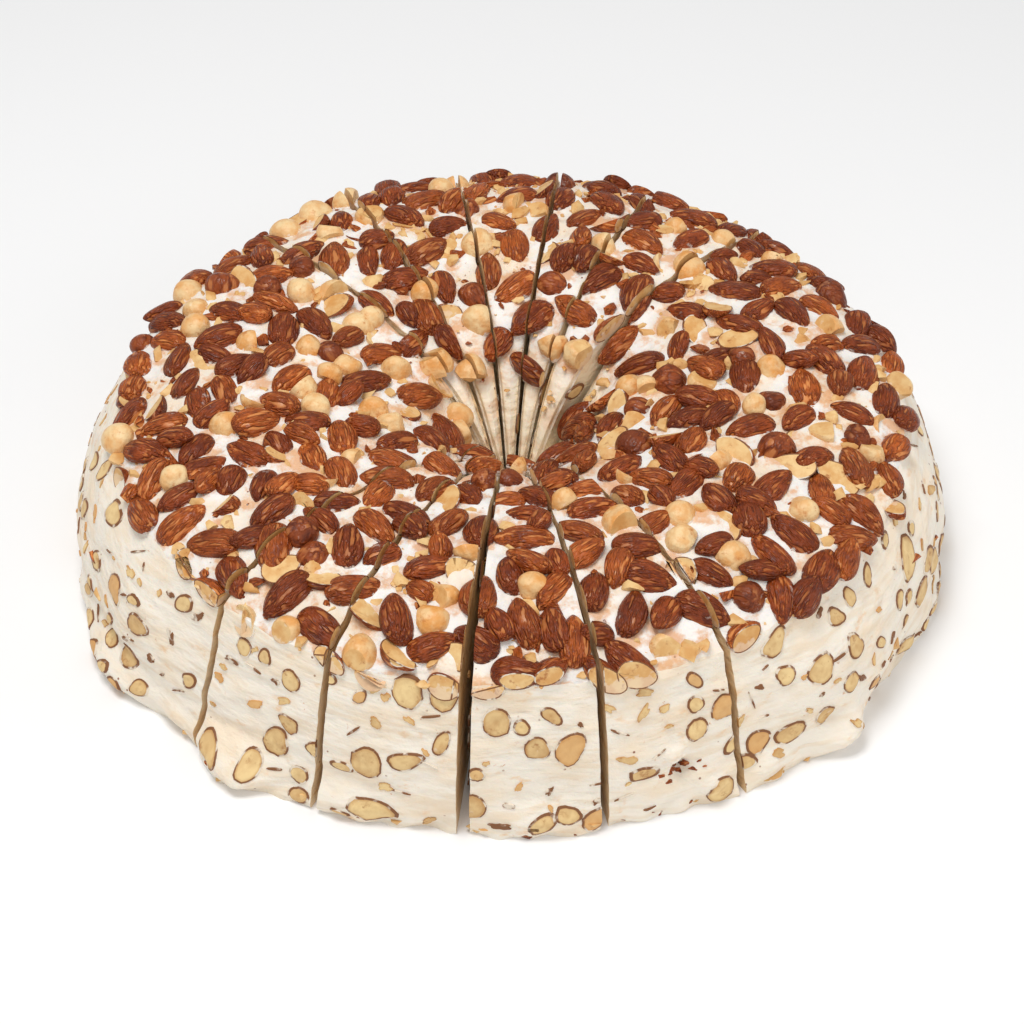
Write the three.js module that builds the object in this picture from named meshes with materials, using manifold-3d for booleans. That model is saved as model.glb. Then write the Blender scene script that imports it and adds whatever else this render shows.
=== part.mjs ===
// A soft nougat cake: a low round wheel of white nougat with a sunken middle, its top crowded with whole
// roasted almonds and hazelnuts. A knife has cut nine slices, four in front and five behind, and left two
// large blocks between them. All eleven pieces still stand together in the shape of the wheel.
// Millimetres, +Z up. The origin is on the floor, on the wheel's axis. -Y is the front.
import * as THREE from "three";
import { mergeVertices } from "three/addons/utils/BufferGeometryUtils.js";
import Module from "manifold-3d";

// ---- the wheel of nougat ----
const WIDEST_RADIUS = 169; // of the uncut blocks, low on their bulging side
const WIDEST_HEIGHT = 19;
const FOOT_TUCK = 3; // how far the bulge draws in from its widest to the floor
const BULGE_ROUNDING = 1.8; // how late the bulge draws in to the rim
const TRIMMED_RADIUS = 164; // of the sliced stretches at the floor: their side was trimmed to a slope
const TRIM_ROUNDING = 1.5;
const TRIM_FADE = 18; // degrees over which the trimming runs out on the blocks
const RIM_RADIUS = 150; // where the side meets the nut topping
const RIM_HEIGHT = 60;
const CREST_HEIGHT = 71; // the highest ring of the top, between the rim and the middle
const CREST_RADIUS = 100;
const RIM_ROUNDING = 2.5; // how late and how steeply the top falls to the rim
const INNER_SLOPE = 0.16; // of the top, from the crest towards the middle
const CREST_SOFTNESS = 14; // width of the crest's rounding
const CRATER = { x: 3, y: 8, depth: 64, reach: 17.5, rounding: 5 }; // a steep well, a little behind the axis
const LUMP_HEIGHT = 1.3; // of the slow waves in the poured top
const LUMP_LENGTH = 18; // of a wave, for each radian
const LUMP_BEND = 29; // how slowly its crests wander
const SIDE_WAVE = 1.4; // of the hand-smoothed side: waves round the wheel that lean as they rise
const SIDE_WAVES = [
  { around: 11, rise: 9 },
  { around: 5, rise: -23 },
];

// One shoulder of the right block has slumped beside the first cut at the back, which bares the slice there.
const SLUMP = { angle: 43, spread: 18, radius: 32, width: 30, depth: 12 };

// Nougat that was squeezed out under the mould: at an angle, so many degrees and millimetres wide.
const FOOT_LIPS = [
  { angle: 196, spread: 6, out: 2 },
  { angle: 210, spread: 8, out: 6 },
  { angle: 233, spread: 6, out: 7 },
  { angle: 249, spread: 5, out: 3 },
  { angle: 275, spread: 6, out: 2 },
  { angle: 304, spread: 3, out: 2 },
  { angle: 315, spread: 4, out: 7 },
  { angle: 343, spread: 8, out: 3 },
  { angle: 20, spread: 8, out: 2 },
  { angle: 100, spread: 9, out: 3 },
  { angle: 160, spread: 10, out: 2 },
];
const LIP_HEIGHT = 7; // of the middle of a lip above the floor
const LIP_THICKNESS = 7;

// ---- how finely the wheel is drawn ----
const COLUMN_ANGLE = 6; // degrees between the sections of a piece
const OVERSHOOT = 3; // degrees by which a piece is swept past each cut, for the knife to cut back
const SIDE_HEIGHTS = [0, 5, 11, 18, 27, 38, 49];
const TOP_RADII = [RIM_RADIUS, 139, 120, 95, 66, 42, 28, 18, 9, 1];
const SAME_POINT = 1e-4; // corners nearer than this are one corner
const FLAT_ENOUGH = 0.4; // faces that bend less than this are joined

// ---- the knife ----
const BACK_CUTS = [46, 65.2, 81.5, 99.4, 118.6, 136]; // degrees round the axis, from +X towards +Y
const FRONT_CUTS = [227, 245.2, 264.1, 281.8, 300];
const GAP_AT_TIP = 0.4; // between neighbours, at the middle of the wheel
const GAP_AT_RIM = 2.4;
const WIDE_CUT = FRONT_CUTS[2]; // this one has opened further
const WIDE_GAP_AT_RIM = 4.2;
const TIP_RADIUS = 4; // where the slices' points end
const CUTTER_REACH = 380; // a cutter reaches past the wheel, also at the corners of a block
const CUTTER_TOP = 110;
const PUSHED_UP = [4, 6, 7, 5, 2]; // of the slices at the back, from the right: higher towards their points

// ---- the nuts ----
const ALMOND = { length: 20.5, width: 12.6, height: 8.6 };
const HAZELNUT = { length: 13.6, width: 13.2, height: 12.4 };
const NUT_SIZE_SPREAD = 0.12; // sizes run this share below and above
const NUT_END = 0.5; // where a nut's corners and ridges are, as shares of its length, width and height
const NUT_SIDE = 0.44;
const ALMOND_CORNERS = { front: 0.16, back: 0.3, ridge: 0.2 };
const HAZELNUT_CORNERS = { front: 0.25, back: 0.25, ridge: 0.12 };
const HAZELNUT_SHARE = 0.27;
const NUT_SEED = 20207;
const NUT_COUNT = 240; // the largest; finer ones lie between them
const NUT_TRIES = 20000;
const NUT_CROWDING = 0.94; // neighbours overlap a little, as poured nuts do
const NUTS_FROM_CRATER = 23; // from the middle of the crater
const NUTS_TO_RADIUS = 146;
const NUT_SINK = 0.1; // share of its height by which a nut's waist is above the nougat
const NUT_LEAN = 0.2; // most slope between a nut and the nougat it lies on
const CUT_NUT_KEPT = 2; // a cut nut counts for a piece that its middle is in, or this near

const FULL_TURN = 360;
const radians = THREE.MathUtils.degToRad;

const wasm = await Module();
wasm.setup();
const { Manifold, Mesh } = wasm;

// A closed three.js geometry as a solid that can be joined and cut.
function solidOf(geometry) {
  const bare = new THREE.BufferGeometry();
  const flat = geometry.index ? geometry.toNonIndexed() : geometry;
  bare.setAttribute("position", flat.getAttribute("position"));
  const merged = mergeVertices(bare, SAME_POINT);
  return new Manifold(
    new Mesh({
      numProp: 3,
      vertProperties: new Float32Array(merged.attributes.position.array),
      triVerts: new Uint32Array(merged.index.array),
    }),
  );
}

function geometryOf(solid) {
  const mesh = solid.getMesh();
  const geometry = new THREE.BufferGeometry();
  geometry.setAttribute("position", new THREE.BufferAttribute(mesh.vertProperties, 3));
  geometry.setIndex(new THREE.BufferAttribute(mesh.triVerts, 1));
  const faceted = geometry.toNonIndexed();
  faceted.computeVertexNormals();
  return faceted;
}

// Repeatable draws between 0 and 1.
function seededDraws(seed) {
  const FACTOR = 16807;
  const MODULUS = 2147483647;
  let state = seed;
  return () => {
    state = (state * FACTOR) % MODULUS;
    return state / MODULUS;
  };
}

// ---- the shape of the wheel ----
function angleBetween(a, b) {
  const turn = (((a - b) % FULL_TURN) + FULL_TURN) % FULL_TURN;
  return Math.min(turn, FULL_TURN - turn);
}

function bell(distance, width) {
  return Math.exp(-((distance / width) ** 2));
}

// Slow waves of the poured nougat.
function lumps(x, y) {
  const along = Math.sin(x / LUMP_LENGTH + Math.sin(y / LUMP_BEND));
  const across = Math.sin(y / LUMP_LENGTH - Math.sin(x / LUMP_BEND));
  return (LUMP_HEIGHT * (along + across)) / 2;
}

// Height of the nougat at a radius, as it was poured, before its middle sank.
function pouredHeight(radius) {
  const inside = Math.max(CREST_RADIUS - radius, 0);
  const outside = Math.max(radius - CREST_RADIUS, 0) / (RIM_RADIUS - CREST_RADIUS);
  const fallInwards = INNER_SLOPE * (Math.hypot(inside, CREST_SOFTNESS) - CREST_SOFTNESS);
  const fallOutwards = (CREST_HEIGHT - RIM_HEIGHT) * outside ** RIM_ROUNDING;
  return CREST_HEIGHT - fallInwards - fallOutwards;
}

function craterDepth(x, y) {
  const away = Math.hypot(x - CRATER.x, y - CRATER.y, CRATER.rounding);
  return CRATER.depth * Math.exp(-away / CRATER.reach);
}

// Height of a piece's bare nougat: a slice that was pushed up stands proud towards its point.
function nougatTop(x, y, piece) {
  const radius = Math.hypot(x, y);
  let height = pouredHeight(radius) - craterDepth(x, y) + lumps(x, y);
  height += piece.pushedUp * Math.max(1 - radius / RIM_RADIUS, 0);
  if (piece.slumped) {
    const angle = (Math.atan2(y, x) * FULL_TURN) / (2 * Math.PI);
    const share = bell(angleBetween(angle, SLUMP.angle), SLUMP.spread);
    height -= SLUMP.depth * share * bell(radius - SLUMP.radius, SLUMP.width);
  }
  return height;
}

// Radius of the side at an angle and a height. A block bulges, but not where it was trimmed with the slices.
function sideRadius(angle, height, piece) {
  const up = Math.min(height / RIM_HEIGHT, 1);
  const trimmed = TRIMMED_RADIUS - (TRIMMED_RADIUS - RIM_RADIUS) * up ** TRIM_ROUNDING;
  const above = Math.max(height - WIDEST_HEIGHT, 0) / (RIM_HEIGHT - WIDEST_HEIGHT);
  const below = Math.max(WIDEST_HEIGHT - height, 0) / WIDEST_HEIGHT;
  const drawnIn = (WIDEST_RADIUS - RIM_RADIUS) * above ** BULGE_ROUNDING + FOOT_TUCK * below ** 2;
  const bulging = WIDEST_RADIUS - drawnIn;
  const fromEnd = Math.min(angleBetween(angle, piece.from), angleBetween(angle, piece.to));
  const bulge = piece.whole ? THREE.MathUtils.smoothstep(fromEnd, 0, TRIM_FADE) : 0;
  let radius = trimmed + (bulging - trimmed) * bulge;
  for (const { around, rise } of SIDE_WAVES) {
    radius += (SIDE_WAVE / 2) * (1 - up) * Math.sin(radians(angle) * around + height / rise);
  }
  for (const lip of FOOT_LIPS) {
    const share = bell(angleBetween(angle, lip.angle), lip.spread);
    radius += lip.out * share * bell(height - LIP_HEIGHT, LIP_THICKNESS);
  }
  return radius;
}

// The nougat of a piece: its section from the foot, up the side and over the top to the axis, swept round.
function nougatGeometry(piece) {
  const from = piece.from - OVERSHOOT;
  const to = piece.to + OVERSHOOT;
  const steps = Math.round((to - from) / COLUMN_ANGLE);
  const positions = [];
  const rows = SIDE_HEIGHTS.length + TOP_RADII.length + 1;
  for (let step = 0; step <= steps; step++) {
    const angle = from + ((to - from) * step) / steps;
    const c = Math.cos(radians(angle));
    const s = Math.sin(radians(angle));
    for (const height of SIDE_HEIGHTS) {
      const radius = sideRadius(angle, height, piece);
      positions.push(radius * c, radius * s, height);
    }
    for (const radius of TOP_RADII) {
      positions.push(radius * c, radius * s, nougatTop(radius * c, radius * s, piece));
    }
    positions.push(TOP_RADII.at(-1) * c, TOP_RADII.at(-1) * s, 0);
  }
  const indices = [];
  const at = (step, row) => step * rows + (row % rows);
  for (let step = 0; step < steps; step++) {
    for (let row = 0; row < rows; row++) {
      indices.push(at(step, row), at(step + 1, row), at(step + 1, row + 1));
      indices.push(at(step, row), at(step + 1, row + 1), at(step, row + 1));
    }
  }
  const outline = [];
  for (let row = 0; row < rows; row++) {
    const radius = Math.hypot(positions[3 * row], positions[3 * row + 1]);
    outline.push(new THREE.Vector2(radius, positions[3 * row + 2]));
  }
  for (const [a, b, c] of THREE.ShapeUtils.triangulateShape(outline, [])) {
    indices.push(at(0, a), at(0, b), at(0, c));
    indices.push(at(steps, a), at(steps, c), at(steps, b));
  }
  const geometry = new THREE.BufferGeometry();
  geometry.setAttribute("position", new THREE.Float32BufferAttribute(positions, 3));
  geometry.setIndex(indices);
  return geometry;
}

// ---- the pieces ----
function gapAtRim(cut) {
  return cut === WIDE_CUT ? WIDE_GAP_AT_RIM : GAP_AT_RIM;
}

// A point on a cut's face: on the side of larger angles with side +1, of smaller ones with -1.
function cutPoint(cut, side, along) {
  const widening = ((gapAtRim(cut) - GAP_AT_TIP) * along) / RIM_RADIUS;
  const away = (side * (GAP_AT_TIP + widening)) / 2;
  const c = Math.cos(radians(cut));
  const s = Math.sin(radians(cut));
  return new THREE.Vector2(along * c - away * s, along * s + away * c);
}

// What lies between two cuts, as a tall prism.
function sector(from, to) {
  const outline = new THREE.Shape([
    cutPoint(from, 1, TIP_RADIUS),
    cutPoint(from, 1, CUTTER_REACH),
    cutPoint(to, -1, CUTTER_REACH),
    cutPoint(to, -1, TIP_RADIUS),
  ]);
  const prism = new THREE.ExtrudeGeometry(outline, { depth: CUTTER_TOP + 1, bevelEnabled: false });
  prism.translate(0, 0, -1);
  return solidOf(prism);
}

// How far a plan point is inside a sector: less than 0 outside.
function insideBy(x, y, piece) {
  const clear = (cut, side) => {
    const c = Math.cos(radians(cut));
    const s = Math.sin(radians(cut));
    return side * (y * c - x * s);
  };
  const middle = radians((piece.from + piece.to) / 2);
  if (x * Math.cos(middle) + y * Math.sin(middle) < 0) return -Infinity;
  return Math.min(clear(piece.from, 1), clear(piece.to, -1));
}

function listPieces() {
  const pieces = [];
  for (let i = 0; i + 1 < FRONT_CUTS.length; i++) {
    pieces.push({ name: `slice_front_${i + 1}`, from: FRONT_CUTS[i], to: FRONT_CUTS[i + 1], pushedUp: 0 });
  }
  for (const [i, pushedUp] of PUSHED_UP.entries()) {
    pieces.push({ name: `slice_back_${i + 1}`, from: BACK_CUTS[i], to: BACK_CUTS[i + 1], pushedUp });
  }
  const whole = { pushedUp: 0, whole: true };
  pieces.push({ name: "block_left", from: BACK_CUTS.at(-1), to: FRONT_CUTS[0], ...whole });
  pieces.push({
    name: "block_right",
    from: FRONT_CUTS.at(-1),
    to: BACK_CUTS[0] + FULL_TURN,
    slumped: true,
    ...whole,
  });
  return pieces;
}

// ---- the nuts ----
// The room a nut takes: three circles, each as [share of the way to an end, share of the half width].
const NUT_CIRCLES = [
  [-0.54, 0.82],
  [0, 1],
  [0.54, 0.72],
];

function circlesOf(nut) {
  const c = Math.cos(nut.heading);
  const s = Math.sin(nut.heading);
  return NUT_CIRCLES.map(([share, width]) => ({
    x: nut.x + share * (nut.length - nut.width) * c,
    y: nut.y + share * (nut.length - nut.width) * s,
    r: (width * nut.width) / 2,
  }));
}

function scatterNuts() {
  const draw = seededDraws(NUT_SEED);
  const nuts = [];
  const taken = [];
  for (let attempt = 0; attempt < NUT_TRIES && nuts.length < NUT_COUNT; attempt++) {
    const kind = draw() < HAZELNUT_SHARE ? HAZELNUT : ALMOND;
    const scale = 1 + NUT_SIZE_SPREAD * (2 * draw() - 1);
    const radius = NUTS_TO_RADIUS * Math.sqrt(draw());
    const angle = 2 * Math.PI * draw();
    const nut = {
      almond: kind === ALMOND,
      x: radius * Math.cos(angle),
      y: radius * Math.sin(angle),
      heading: 2 * Math.PI * draw(),
      length: kind.length * scale,
      width: kind.width * scale,
      height: kind.height * scale,
      leanX: NUT_LEAN * (2 * draw() - 1),
      leanY: NUT_LEAN * (2 * draw() - 1),
    };
    if (Math.hypot(nut.x - CRATER.x, nut.y - CRATER.y) < NUTS_FROM_CRATER) continue;
    const circles = circlesOf(nut);
    const blocked = taken.some((other) =>
      circles.some((c) => Math.hypot(c.x - other.x, c.y - other.y) < NUT_CROWDING * (c.r + other.r)),
    );
    if (blocked) continue;
    nuts.push(nut);
    taken.push(...circles);
  }
  return nuts;
}

// A nut with few faces and unit sizes: a waist of six corners, and a short ridge above and below. Corners
// that sit further back leave a long point at +X, as an almond has.
function nutGeometry({ front, back, ridge }) {
  const corners = [
    [NUT_END, 0, 0],
    [front, NUT_SIDE, 0],
    [-back, NUT_SIDE, 0],
    [-NUT_END, 0, 0],
    [-back, -NUT_SIDE, 0],
    [front, -NUT_SIDE, 0],
  ];
  const faces = [];
  for (const side of [1, -1]) {
    const ahead = corners.push([ridge, 0, side * NUT_END]) - 1;
    const behind = corners.push([-ridge, 0, side * NUT_END]) - 1;
    const upper = [
      [0, 1, ahead],
      [1, behind, ahead],
      [1, 2, behind],
      [2, 3, behind],
      [3, 4, behind],
      [4, 5, behind],
      [5, ahead, behind],
      [5, 0, ahead],
    ];
    for (const [a, b, c] of upper) faces.push(side > 0 ? [a, b, c] : [a, c, b]);
  }
  const geometry = new THREE.BufferGeometry();
  geometry.setAttribute("position", new THREE.Float32BufferAttribute(corners.flat(), 3));
  geometry.setIndex(faces.flat());
  return geometry;
}

const ALMOND_SHAPE = nutGeometry(ALMOND_CORNERS);
const HAZELNUT_SHAPE = nutGeometry(HAZELNUT_CORNERS);

// Where a nut lies: along the slope of the nougat, leaning a little, its waist just above the surface.
function nutPlace(nut, piece) {
  const STEP = 3;
  const slope = (dx, dy) =>
    (nougatTop(nut.x + dx, nut.y + dy, piece) - nougatTop(nut.x - dx, nut.y - dy, piece)) / (2 * STEP);
  const up = new THREE.Vector3(-slope(STEP, 0) + nut.leanX, -slope(0, STEP) + nut.leanY, 1).normalize();
  const ahead = new THREE.Vector3(Math.cos(nut.heading), Math.sin(nut.heading), 0);
  const left = new THREE.Vector3().crossVectors(up, ahead).normalize();
  ahead.crossVectors(left, up);
  const place = new THREE.Matrix4().makeBasis(ahead, left, up);
  place.setPosition(nut.x, nut.y, nougatTop(nut.x, nut.y, piece) + NUT_SINK * nut.height);
  return place.scale(new THREE.Vector3(nut.length, nut.width, nut.height));
}

function buildPiece(piece, nuts) {
  const joined = [solidOf(nougatGeometry(piece)).simplify(FLAT_ENOUGH)];
  for (const nut of nuts) {
    if (insideBy(nut.x, nut.y, piece) < -CUT_NUT_KEPT) continue;
    const shape = (nut.almond ? ALMOND_SHAPE : HAZELNUT_SHAPE).clone();
    joined.push(solidOf(shape.applyMatrix4(nutPlace(nut, piece))));
  }
  const cut = Manifold.union(joined).intersect(sector(piece.from, piece.to));
  const parts = cut.simplify(FLAT_ENOUGH).decompose();
  return parts.sort((a, b) => b.volume() - a.volume())[0];
}

const nougatCake = new THREE.Group();
const nuts = scatterNuts();
for (const piece of listPieces()) {
  const nougat = new THREE.MeshStandardMaterial({ color: 0xf1e6d3, roughness: 0.55, metalness: 0 });
  const mesh = new THREE.Mesh(geometryOf(buildPiece(piece, nuts)), nougat);
  mesh.name = piece.name;
  nougatCake.add(mesh);
}

export default nougatCake;
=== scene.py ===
# %% [markdown]
# # A soft nougat cake, dressed in Blender
#
# The cake is a low wheel of white nougat, about 34 cm across. Whole roasted almonds and hazelnuts crowd its
# top, and a knife has cut nine slices, four in front and five behind. The imported CAD model already says how
# large the wheel is, where the knife went and where the large nuts lie. This script keeps all of that and
# makes what a solid model leaves out: lumpy nougat, wrinkled skins, cut nuts and crumbs.
#
# The frame is loaded first. Its box is kept, so that every mesh can be held inside it.

# %% Load the frame
import math

import bmesh
import bpy
import numpy as np
from mathutils import Matrix, Vector, noise


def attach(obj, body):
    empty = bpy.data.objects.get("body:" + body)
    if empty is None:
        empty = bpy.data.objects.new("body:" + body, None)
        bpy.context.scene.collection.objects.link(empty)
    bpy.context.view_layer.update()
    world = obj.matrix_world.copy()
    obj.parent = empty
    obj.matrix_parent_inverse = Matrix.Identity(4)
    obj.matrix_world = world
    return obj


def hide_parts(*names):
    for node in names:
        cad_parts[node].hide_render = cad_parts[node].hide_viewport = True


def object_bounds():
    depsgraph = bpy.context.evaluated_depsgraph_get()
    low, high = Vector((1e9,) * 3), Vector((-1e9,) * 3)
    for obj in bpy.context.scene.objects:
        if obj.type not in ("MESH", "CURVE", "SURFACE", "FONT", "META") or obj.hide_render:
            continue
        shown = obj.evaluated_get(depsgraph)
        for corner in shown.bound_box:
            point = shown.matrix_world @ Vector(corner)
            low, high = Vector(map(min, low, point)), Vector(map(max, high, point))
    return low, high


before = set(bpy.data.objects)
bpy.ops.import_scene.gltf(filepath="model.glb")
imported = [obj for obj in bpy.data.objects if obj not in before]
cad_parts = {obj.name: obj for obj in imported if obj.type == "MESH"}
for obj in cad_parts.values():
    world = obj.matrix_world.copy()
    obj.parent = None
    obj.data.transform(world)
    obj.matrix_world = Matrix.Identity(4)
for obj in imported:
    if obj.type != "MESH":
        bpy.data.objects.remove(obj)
cad_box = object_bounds()
MM = 0.001
print("nodes:", sorted(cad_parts))
print("CAD box in mm:", [[round(c / MM, 1) for c in corner] for corner in cad_box])

# %% [markdown]
# ## Camera
#
# The camera looks down on the front of the cake at about 41 degrees, from a metre away. The cake sits a
# little above the middle of a square frame. A small lens shift does that without tilting the camera, so
# upright lines keep their direction.

# %% Camera
CAMERA_ELEVATION = math.radians(41.214)
CAMERA_DISTANCE = 1.02
LOOK_AT = Vector((0, 0, 0.0289))
CAMERA_LENS = 91.84
CAMERA_SHIFT = (0.0014, -0.0419)


def add_camera():
    camera = bpy.data.objects.new("camera", bpy.data.cameras.new("camera"))
    bpy.context.collection.objects.link(camera)
    back = Vector((0, -math.cos(CAMERA_ELEVATION), math.sin(CAMERA_ELEVATION)))
    camera.location = LOOK_AT + CAMERA_DISTANCE * back
    camera.rotation_euler = (-back).to_track_quat("-Z", "Y").to_euler()
    camera.data.lens = CAMERA_LENS
    camera.data.shift_x, camera.data.shift_y = CAMERA_SHIFT
    bpy.context.scene.camera = camera
    return camera


print("camera at", [round(c, 3) for c in add_camera().location])

# %% [markdown]
# ## Floor and light
#
# Food on a white table is lit softly from all round, with one large lamp above to make the skins shine.
# The table and the surrounding light are nearly white. The lamps are area lights: the larger a lamp, the
# softer its shadows. The colours go to the picture without a film curve, so white nougat stays white.

# %% Floor and light
FLOOR_COLOUR = (0.93, 0.93, 0.93, 1)
SURROUND_STRENGTH = 0.46
# name: (power in watts, side in metres, place)
LAMPS = {
    "key": (9.2, 0.5, (-0.22, -0.15, 1.25)),
    "front": (2.8, 0.9, (0.3, -1.3, 0.7)),
    "right": (2.5, 0.7, (1.2, -0.2, 0.6)),
}


def add_floor():
    bpy.ops.mesh.primitive_plane_add(size=12, location=(0, 0, 0))
    floor = bpy.context.object
    floor.name = "floor"
    paint = bpy.data.materials.new("white_table")
    paint.use_nodes = True
    shader = paint.node_tree.nodes["Principled BSDF"]
    shader.inputs["Base Color"].default_value = FLOOR_COLOUR
    shader.inputs["Roughness"].default_value = 0.7
    floor.data.materials.append(paint)


def add_lamp(name, power, side, place):
    lamp = bpy.data.objects.new(name, bpy.data.lights.new(name, "AREA"))
    bpy.context.collection.objects.link(lamp)
    lamp.data.energy = power
    lamp.data.size = side
    lamp.location = place
    lamp.rotation_euler = (LOOK_AT - Vector(place)).to_track_quat("-Z", "Y").to_euler()


def add_surround():
    world = bpy.data.worlds.new("studio")
    world.use_nodes = True
    world.node_tree.nodes["Background"].inputs["Color"].default_value = (1, 1, 1, 1)
    world.node_tree.nodes["Background"].inputs["Strength"].default_value = SURROUND_STRENGTH
    bpy.context.scene.world = world


add_floor()
add_surround()
for lamp_name, (power, side, place) in LAMPS.items():
    add_lamp(lamp_name, power, side, place)
bpy.context.scene.view_settings.view_transform = "Standard"
print("lamps:", list(LAMPS))

# %% [markdown]
# ## The shape of the wheel
#
# The nougat was poured into a ring mould with a sunken middle, so its height is a function of the radius,
# with slow waves on it. The middle itself is a steep well. The slices behind it were pushed up towards their
# points, and one shoulder has slumped. These are the same formulas as in the CAD model, in millimetres,
# written for whole arrays of points at once.

# %% Height of the top
WIDEST_RADIUS = 169
WIDEST_HEIGHT = 19
FOOT_TUCK = 3
BULGE_ROUNDING = 1.8
TRIMMED_RADIUS = 164
TRIM_ROUNDING = 1.5
TRIM_FADE = 18
RIM_RADIUS = 150
RIM_HEIGHT = 60
CREST_HEIGHT = 71
CREST_RADIUS = 100
RIM_ROUNDING = 2.5
INNER_SLOPE = 0.16
CREST_SOFTNESS = 14
CRATER_X, CRATER_Y, CRATER_DEPTH, CRATER_REACH, CRATER_ROUNDING = 3, 8, 64, 17.5, 5
LUMP_HEIGHT = 1.3
LUMP_LENGTH = 18
LUMP_BEND = 29
SLUMP_ANGLE, SLUMP_SPREAD, SLUMP_RADIUS, SLUMP_WIDTH, SLUMP_DEPTH = 43, 18, 32, 30, 12


def bell(distance, width):
    return np.exp(-((distance / width) ** 2))


def angle_between(a, b):
    turn = np.mod(a - b, 360)
    return np.minimum(turn, 360 - turn)


def lumps(x, y):
    along = np.sin(x / LUMP_LENGTH + np.sin(y / LUMP_BEND))
    across = np.sin(y / LUMP_LENGTH - np.sin(x / LUMP_BEND))
    return LUMP_HEIGHT * (along + across) / 2


def poured_height(radius):
    inside = np.maximum(CREST_RADIUS - radius, 0)
    outside = np.maximum(radius - CREST_RADIUS, 0) / (RIM_RADIUS - CREST_RADIUS)
    fall_inwards = INNER_SLOPE * (np.hypot(inside, CREST_SOFTNESS) - CREST_SOFTNESS)
    fall_outwards = (CREST_HEIGHT - RIM_HEIGHT) * outside**RIM_ROUNDING
    return CREST_HEIGHT - fall_inwards - fall_outwards


def from_crater(x, y):
    return np.hypot(x - CRATER_X, y - CRATER_Y)


def nougat_top(x, y, piece):
    radius = np.hypot(x, y)
    sunk = CRATER_DEPTH * np.exp(-np.hypot(from_crater(x, y), CRATER_ROUNDING) / CRATER_REACH)
    height = poured_height(radius) - sunk + lumps(x, y)
    height = height + piece["pushed_up"] * np.maximum(1 - radius / RIM_RADIUS, 0)
    if piece["slumped"]:
        share = bell(angle_between(np.degrees(np.arctan2(y, x)), SLUMP_ANGLE), SLUMP_SPREAD)
        height = height - SLUMP_DEPTH * share * bell(radius - SLUMP_RADIUS, SLUMP_WIDTH)
    return height


print("height of the crest:", poured_height(CREST_RADIUS), "mm, of the rim:", poured_height(RIM_RADIUS), "mm")

# %% [markdown]
# ## The side of the wheel
#
# The blocks keep the mould's bulging side. The stretches that were cut into slices have a side that was
# trimmed to a slope, and a block passes from one to the other near its cuts. Waves run round the wheel and
# fade out towards the rim. At the foot, nougat was squeezed out under the mould in a few lips.

# %% Radius of the side
SIDE_WAVE = 1.4
SIDE_WAVES = ((11, 9), (5, -23))  # waves round the wheel, and the height in which they lean by a radian
FOOT_LIPS = (  # nougat squeezed out under the mould: angle, spread in degrees, how far out
    (196, 6, 2), (210, 8, 6), (233, 6, 7), (249, 5, 3), (275, 6, 2), (304, 3, 2),
    (315, 4, 7), (343, 8, 3), (20, 8, 2), (100, 9, 3), (160, 10, 2),
)
LIP_HEIGHT = 7
LIP_THICKNESS = 7


def bulge_share(angle, piece):
    """1 where a block keeps the mould's bulge, 0 where its side was trimmed."""
    if not piece["whole"]:
        return np.zeros_like(angle)
    from_end = np.minimum(angle_between(angle, piece["start"]), angle_between(angle, piece["end"]))
    share = np.clip(from_end / TRIM_FADE, 0, 1)
    return share * share * (3 - 2 * share)


def side_radius(angle, height, piece):
    up = np.clip(height / RIM_HEIGHT, 0, 1)
    trimmed = TRIMMED_RADIUS - (TRIMMED_RADIUS - RIM_RADIUS) * up**TRIM_ROUNDING
    above = np.clip((height - WIDEST_HEIGHT) / (RIM_HEIGHT - WIDEST_HEIGHT), 0, 1)
    below = np.maximum(WIDEST_HEIGHT - height, 0) / WIDEST_HEIGHT
    drawn_in = (WIDEST_RADIUS - RIM_RADIUS) * above**BULGE_ROUNDING + FOOT_TUCK * below**2
    radius = trimmed + (WIDEST_RADIUS - drawn_in - trimmed) * bulge_share(angle, piece)
    for around, rise in SIDE_WAVES:
        radius = radius + SIDE_WAVE / 2 * (1 - up) * np.sin(np.radians(angle) * around + height / rise)
    for lip_angle, spread, out in FOOT_LIPS:
        share = bell(angle_between(angle, lip_angle), spread)
        radius = radius + out * share * bell(height - LIP_HEIGHT, LIP_THICKNESS)
    return radius


print("the longest of", len(FOOT_LIPS), "lips at the foot stands", max(lip[2] for lip in FOOT_LIPS), "mm out")

# %% [markdown]
# ## The eleven pieces
#
# Each cut is an upright plane through the middle of the wheel. The slices behind were pushed up, each by its
# own amount. A piece is described by its two cuts, as angles that grow from one cut to the other, so the last
# block ends past 360 degrees.

# %% List the pieces
BACK_CUTS = (46, 65.2, 81.5, 99.4, 118.6, 136)
FRONT_CUTS = (227, 245.2, 264.1, 281.8, 300)
PUSHED_UP = (4, 6, 7, 5, 2)


def new_piece(name, start, end, pushed_up=0.0, whole=False, slumped=False):
    return dict(name=name, start=start, end=end, pushed_up=pushed_up, whole=whole, slumped=slumped)


pieces = [
    new_piece(f"slice_front_{i + 1}", FRONT_CUTS[i], FRONT_CUTS[i + 1]) for i in range(len(FRONT_CUTS) - 1)
]
pieces += [
    new_piece(f"slice_back_{i + 1}", BACK_CUTS[i], BACK_CUTS[i + 1], pushed_up=lift)
    for i, lift in enumerate(PUSHED_UP)
]
pieces.append(new_piece("block_left", BACK_CUTS[-1], FRONT_CUTS[0], whole=True))
pieces.append(new_piece("block_right", FRONT_CUTS[-1], BACK_CUTS[0] + 360, whole=True, slumped=True))
print(len(pieces), "pieces:", [piece["name"] for piece in pieces])

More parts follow.
